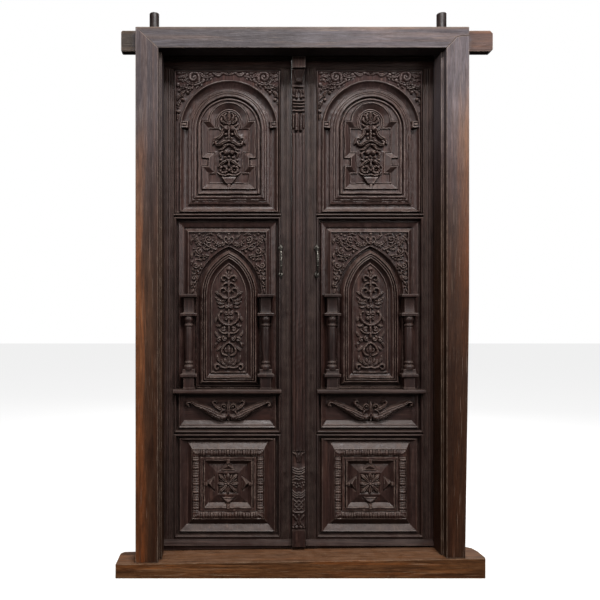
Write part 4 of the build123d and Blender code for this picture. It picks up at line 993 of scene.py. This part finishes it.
def stick_frame(w, z0, z1, bottom=True, top=True):
    """Planted moulding round a panel: half-round with a sunk quirk, mitred at the corners, open where a side is missing."""
    d = np.linspace(0, math.pi, 11)
    pr = [(5 - 5 * math.cos(q), FACE + 1 - 8.5 * math.sin(q)) for q in d] + [(10.2, 137), (15.8, 137), (15.8, REB), (0, REB)]
    n = len(pr)
    corners = []
    if bottom:
        corners += [(-1, "b"), (1, "b")]
    else:
        corners += [(1, "open_b")]
    if top:
        corners += [(1, "t"), (-1, "t")]
    else:
        corners += [(1, "open_t"), (-1, "open_t")]
    if not bottom:
        corners += [(-1, "open_b")]
    if bottom and not top:
        corners = [(-1, "open_t"), (-1, "b"), (1, "b"), (1, "open_t")]
    verts = []
    for sx, kind in corners:
        for dd, y in pr:
            z = {"b": z0 + dd, "t": z1 - dd, "open_b": z0, "open_t": z1}[kind]
            verts.append((C + sx * (w - dd), y, z))
    closed = bottom and top
    m = len(corners)
    faces, i = [], np.arange(n)
    j = (i + 1) % n
    for k in range(m if closed else m - 1):
        p, q = k * n, ((k + 1) % m) * n
        faces.append(np.stack([i + p, i + q, j + q, j + p], -1))
    if not closed:
        faces.append(i[None, :])
        faces.append((i[::-1] + (m - 1) * n)[None, :])
    return np.array(verts), faces


for name, z0, z1, bottom, top in (("middle_moulding", 741.3, 1466, False, True), ("apron_moulding", 556, 721.7, True, False), ("bottom_moulding", 115.3, 552, True, True)):
    v, f = stick_frame(225.2, z0, z1, bottom, top)
    both("run_" + name, v, f, "leaf_wood", plain_v if name != "apron_moulding" else plain_h, (name,), 35)

# only the stick under the round arch shows; the carving of the upper panel runs over the other three
d = np.linspace(0, math.pi, 11)
pr = [(REB, 1470)] + [(FACE + 1 - 8.5 * math.sin(q), 1475 - 5 * math.cos(q)) for q in d] + [(137, 1480.2), (137, 1486.2), (REB, 1486.2)]
v, f = prism(pr, C + 225.2, C - 225.2, "X")
both("run_upper_moulding", v, f, "leaf_wood", plain_h, ("upper_moulding",), 35)


def reeded(marks, lo, hi, top, ground):
    """Outline of a run of reeds: marks are (start, end, kind) bands on a ground."""
    pts = [(lo, ground)]
    for a, b, kind in marks:
        if kind == "flat":
            pts += [(a, ground), (a + 0.5, top + 0.5), (a + 1.2, top), (b - 1.2, top), (b - 0.5, top + 0.5), (b, ground)]
        else:
            for q in np.linspace(0, math.pi, 9):
                pts.append(((a + b) / 2 - (b - a) / 2 * math.cos(q), ground - (ground - top) * math.sin(q)))
    return pts + [(hi, ground)]


# reeds worked on the stiles and the top rail, weathered bottom rail
GROUND, CREST = FACE - 0.1, 121.4
outer = reeded([(-566.4, -552, "flat"), (-549, -541, "bead"), (-539, -533, "flat"), (-532.4, -530, "bead")], -566.6, -527.2, CREST, GROUND)
inner = reeded([(-70.6, -62.4, "flat"), (-60.4, -56, "bead"), (-55.4, -51.4, "bead"), (-50.8, -46.4, "bead"), (-42, -32, "flat")], -71.6, -30.6, CREST, GROUND)
back = FACE + 0.6
parts = []
for pr in (outer, inner):
    parts.append(prism(pr + [(pr[-1][0], back), (pr[0][0], back)], 110, 2091.5, "Z"))
v, f = join(parts)
both("stile_reeds", v, f, "leaf_wood", plain_v, (), 35)
top = reeded([(2093, 2098, "bead"), (2101, 2120, "flat"), (2124.5, 2130.5, "bead"), (2134, 2143, "flat")], 2092.4, 2143.6, 0, 4.2)
pr = [(GROUND - 4.2 + y, z) for z, y in top]
parts = [prism([(back, top[0][0])] + pr + [(back, top[-1][0])], -30.6, -566.6, "X")]
low = [(back, 83), (114.5, 83), (113, 84.5), (113.2, 86), (121.5, 105), (122.5, 108.5), (back, 108.5)]
parts.append(prism(low, -30.6, -566.6, "X"))
v, f = join(parts)
both("rail_runs", v, f, "leaf_wood", plain_h, (), 35)

# ledge under the colonnettes
led = [(REB, 722), (100, 722), (96, 723.5), (93.4, 726), (92, 727.5), (92, 737), (93.2, 739.8), (96, 741), (REB, 741)]
v, f = prism(led, C + 225, C - 225, "X")
both("ledge_run", v, f, "leaf_wood", plain_h, ("ledge",), 35)


# colonnettes
def square_turn(x, rows, back_y):
    """Stack of rectangular sections against the panel: rows of (z, half width, front Y)."""
    verts = []
    for z, hw, y in rows:
        verts += [(x - hw, y, z), (x + hw, y, z), (x + hw, back_y, z), (x - hw, back_y, z)]
    faces = []
    i = np.arange(4)
    j = (i + 1) % 4
    for k in range(len(rows) - 1):
        p = 4 * k
        faces.append(np.stack([i + p, j + p, j + p + 4, i + p + 4], -1))
    faces.append(i[::-1][None, :])
    faces.append((i + 4 * (len(rows) - 1))[None, :])
    return np.array(verts, float), faces


def turned(x, y, rows, seg=32):
    verts, faces = [], []
    q = np.linspace(0, math.tau, seg, endpoint=False)
    for z, r in rows:
        verts.append(np.column_stack([x + r * np.cos(q), y + r * np.sin(q), np.full(seg, z)]))
    i = np.arange(seg)
    j = (i + 1) % seg
    for k in range(len(rows) - 1):
        p = seg * k
        faces.append(np.stack([i + p, j + p, j + p + seg, i + p + seg], -1))
    faces.append(i[::-1][None, :])
    faces.append((i + seg * (len(rows) - 1))[None, :])
    return np.concatenate(verts), faces


def colonnette(x):
    foot = [(741, 25, 97.5), (747, 25, 97.5), (749, 22, 100), (788, 22, 100), (790, 24, 98.5), (793, 32, 94), (795, 34, 92.6), (804, 34.3, 92.3), (806, 33, 93.2),
            (808, 27, 97.5), (812, 25.5, 99), (824, 25.5, 99), (825.5, 24, 100)]
    head = [(1046.5, 24, 101), (1048, 30, 95.5), (1049.5, 34, 92.8), (1058, 34.4, 92.3), (1060, 33, 93.4), (1061.5, 26, 98.5), (1064, 21, 102.5), (1067, 20, 103.5),
            (1121, 20, 103.5), (1124, 21.5, 102), (1126, 28, 97), (1128, 33, 93.4), (1129.5, 34.2, 92.6), (1137, 34.5, 92.2), (1139, 33.8, 92.8), (1140.2, 31, 95)]
    shaft = [(824, 20.5), (828, 21.4), (836, 21.6), (842, 19.5), (844, 16.6), (848, 16.2), (851, 18.2), (855, 18.4), (858, 16.2), (861, 15.2), (880, 16.2), (930, 18.4), (965, 18.6),
             (996, 17.2), (1003, 16.4), (1005, 18.4), (1009, 19.2), (1013, 18.4), (1015, 15.2), (1020, 14.8), (1026, 17.6), (1034, 19.6), (1041, 18.8), (1045, 16), (1048, 15.4)]
    rows = []
    for k in range(len(shaft) - 1):
        for q in np.linspace(0, 1, 4, endpoint=False):
            rows.append((shaft[k][0] + (shaft[k + 1][0] - shaft[k][0]) * q, shaft[k][1] + (shaft[k + 1][1] - shaft[k][1]) * (q * q * (3 - 2 * q))))
    rows.append(shaft[-1])
    return [square_turn(x, foot, 138), square_turn(x, head, 138), turned(x, 114, rows)]


for name, du in (("outer_colonnette", -161), ("inner_colonnette", 161)):
    v, f = join(colonnette(C + du))
    both("turned_" + name, v, f, "leaf_wood", plain_v, (name,), 32)

# pulls: two lobed leaves and a bowed grip with two collars
PULL_X, PULL_Z = -76.0, (1222.0, 1336.0)


def tube(path, radii, seg=14):
    P, par = curve(path, 2.0)
    R = spread(radii, par)
    T = np.gradient(P, axis=0)
    T /= np.linalg.norm(T, axis=1)[:, None]
    side = np.array([1.0, 0, 0])
    verts, faces = [], []
    q = np.linspace(0, math.tau, seg, endpoint=False)
    for p, t, r in zip(P, T, R):
        n = np.cross(t, side)
        verts.append(p + r * (np.cos(q)[:, None] * side + np.sin(q)[:, None] * n))
    i = np.arange(seg)
    j = (i + 1) % seg
    for k in range(len(P) - 1):
        a = seg * k
        faces.append(np.stack([i + a, i + a + seg, j + a + seg, j + a], -1))
    faces.append(i[None, :])
    faces.append((i[::-1] + seg * (len(P) - 1))[None, :])
    return np.concatenate(verts), faces


def leaf_plate(z, s):
    """Pointed leaf with lobes and a raised middle; s is +1 when it points up."""
    half = [(0, -15), (4, -14.5), (6.5, -11), (6.5, -8), (9.5, -6.5), (11.5, -3), (10.5, 0.5), (7.6, 2.5), (8.6, 4.5), (7.6, 7), (5.0, 9), (2.6, 11.5), (0, 15)]
    line = np.array(half + [(-a, b) for a, b in half[-2:0:-1]], float)
    verts = []
    for k, y in ((1.0, FACE), (1.0, 116.0), (0.9, 114.6), (0.45, 112.6)):
        verts.append(np.column_stack([PULL_X + line[:, 0] * k, np.full(len(line), y), z + s * line[:, 1] * k]))
    n = len(line)
    i = np.arange(n)
    j = (i + 1) % n
    faces = []
    for k in range(3):
        p = n * k
        quad = np.stack([i + p, j + p, j + p + n, i + p + n], -1)
        faces.append(quad if s > 0 else quad[:, ::-1])
    for first, k in ((True, 0), (False, 3)):
        ring = i + n * k
        ring = ring[::-1] if (first == (s > 0)) else ring
        faces.append(ring[None, :])
    return np.concatenate(verts), faces


grip = tube([(PULL_X, 116, 1225), (PULL_X, 104, 1231), (PULL_X, 94.5, 1250), (PULL_X, 91, 1279), (PULL_X, 94.5, 1308), (PULL_X, 104, 1327), (PULL_X, 116, 1333)],
            (3.4, 3.2, 3.0, 3.4, 3.8, 4.2, 4.6, 4.9, 4.6, 4.2, 3.8, 3.4, 3.0, 3.2, 3.4))
collars = [tube([(PULL_X, 93.9, 1254 + d), (PULL_X, 93.2, 1257 + d), (PULL_X, 92.8, 1260 + d)], (3.6, 5.4, 5.6, 5.4, 3.6)) for d in (0,)]
collars += [tube([(PULL_X, 92.8, 1298), (PULL_X, 93.2, 1301), (PULL_X, 93.9, 1304)], (3.6, 5.4, 5.6, 5.4, 3.6))]
v, f = join([grip, leaf_plate(1222, -1), leaf_plate(1336, 1)] + collars)
both("cast_pull", v, f, "pull_metal", brass, ("pull_handle",), 40)

# ------------------------------------------------------------------ light, floor, camera
scene = bpy.context.scene
world = bpy.data.worlds.new("studio")
scene.world = world
world.use_nodes = True
wn = world.node_tree
wn.nodes.clear()
wo = wn.nodes.new("ShaderNodeOutputWorld")
seen, fill, pick, path = wn.nodes.new("ShaderNodeBackground"), wn.nodes.new("ShaderNodeBackground"), wn.nodes.new("ShaderNodeMixShader"), wn.nodes.new("ShaderNodeLightPath")
seen.inputs[0].default_value, seen.inputs[1].default_value = (1, 1, 1, 1), 1.0
fill.inputs[0].default_value, fill.inputs[1].default_value = (0.95, 0.96, 1.0, 1), 0.03
wn.links.new(path.outputs["Is Camera Ray"], pick.inputs[0])
wn.links.new(fill.outputs[0], pick.inputs[1])
wn.links.new(seen.outputs[0], pick.inputs[2])
wn.links.new(pick.outputs[0], wo.inputs[0])


def area(name, loc, target, size, power, color=(1, 1, 1)):
    d = bpy.data.lights.new(name, "AREA")
    d.shape = "RECTANGLE"
    d.size, d.size_y = size
    d.energy = power
    d.color = color
    ob = bpy.data.objects.new(name, d)
    ob.location = loc
    from mathutils import Vector
    ob.rotation_euler = (Vector(target) - Vector(loc)).to_track_quat("-Z", "Y").to_euler()
    scene.collection.objects.link(ob)
    return ob


area("key", (0.5, -2.4, 4.5), (0.0, 0.1, 0.95), (2.0, 1.2), 255, (1.0, 0.985, 0.98))
area("left_fill", (-2.9, -3.3, 2.6), (0, 0.1, 1.1), (1.4, 1.4), 84, (1.0, 0.97, 0.95))
area("right_fill", (2.9, -3.3, 2.6), (0, 0.1, 1.1), (1.4, 1.4), 98, (1.0, 0.98, 0.97))
area("rear", (0.8, 3.5, 3.2), (0, 0.1, 1.1), (2.5, 2.0), 110)

fm = bpy.data.materials.new("pale_floor")
fm.use_nodes = True
fn_ = fm.node_tree
fn_.nodes.clear()
fout, fmix, fadd = fn_.nodes.new("ShaderNodeOutputMaterial"), fn_.nodes.new("ShaderNodeMixShader"), fn_.nodes.new("ShaderNodeAddShader")
fdark, fpale, fglow, fpath = fn_.nodes.new("ShaderNodeBsdfDiffuse"), fn_.nodes.new("ShaderNodeBsdfDiffuse"), fn_.nodes.new("ShaderNodeEmission"), fn_.nodes.new("ShaderNodeLightPath")
fdark.inputs[0].default_value = (0.10, 0.095, 0.09, 1)
fpale.inputs[0].default_value = (0.35, 0.35, 0.35, 1)
fglow.inputs[0].default_value, fglow.inputs[1].default_value = (1, 1, 1, 1), 0.86
fn_.links.new(fpale.outputs[0], fadd.inputs[0])
fn_.links.new(fglow.outputs[0], fadd.inputs[1])
fn_.links.new(fpath.outputs["Is Camera Ray"], fmix.inputs[0])
fn_.links.new(fdark.outputs[0], fmix.inputs[1])
fn_.links.new(fadd.outputs[0], fmix.inputs[2])
fn_.links.new(fmix.outputs[0], fout.inputs[0])
floor = bpy.data.meshes.new("floor")
s = 40.0
floor.from_pydata([(-s, -s, 0), (s, -s, 0), (s, s, 0), (-s, s, 0)], [], [(0, 1, 2, 3)])
floor.materials.append(fm)
fo = bpy.data.objects.new("floor", floor)
scene.collection.objects.link(fo)

cam = bpy.data.cameras.new("camera")
cam.sensor_width = 36.0
cam.lens = 34.5
cam.shift_x, cam.shift_y = 0.1233, 0.05
cam.clip_start, cam.clip_end = 0.05, 100
co = bpy.data.objects.new("camera", cam)
co.location = (-0.3056, -2.300, 0.990)
co.rotation_euler = (math.radians(90), 0, 0)
scene.collection.objects.link(co)
scene.camera = co
scene.view_settings.view_transform = "Standard"
scene.view_settings.look = "None"
scene.view_settings.exposure = 0.0
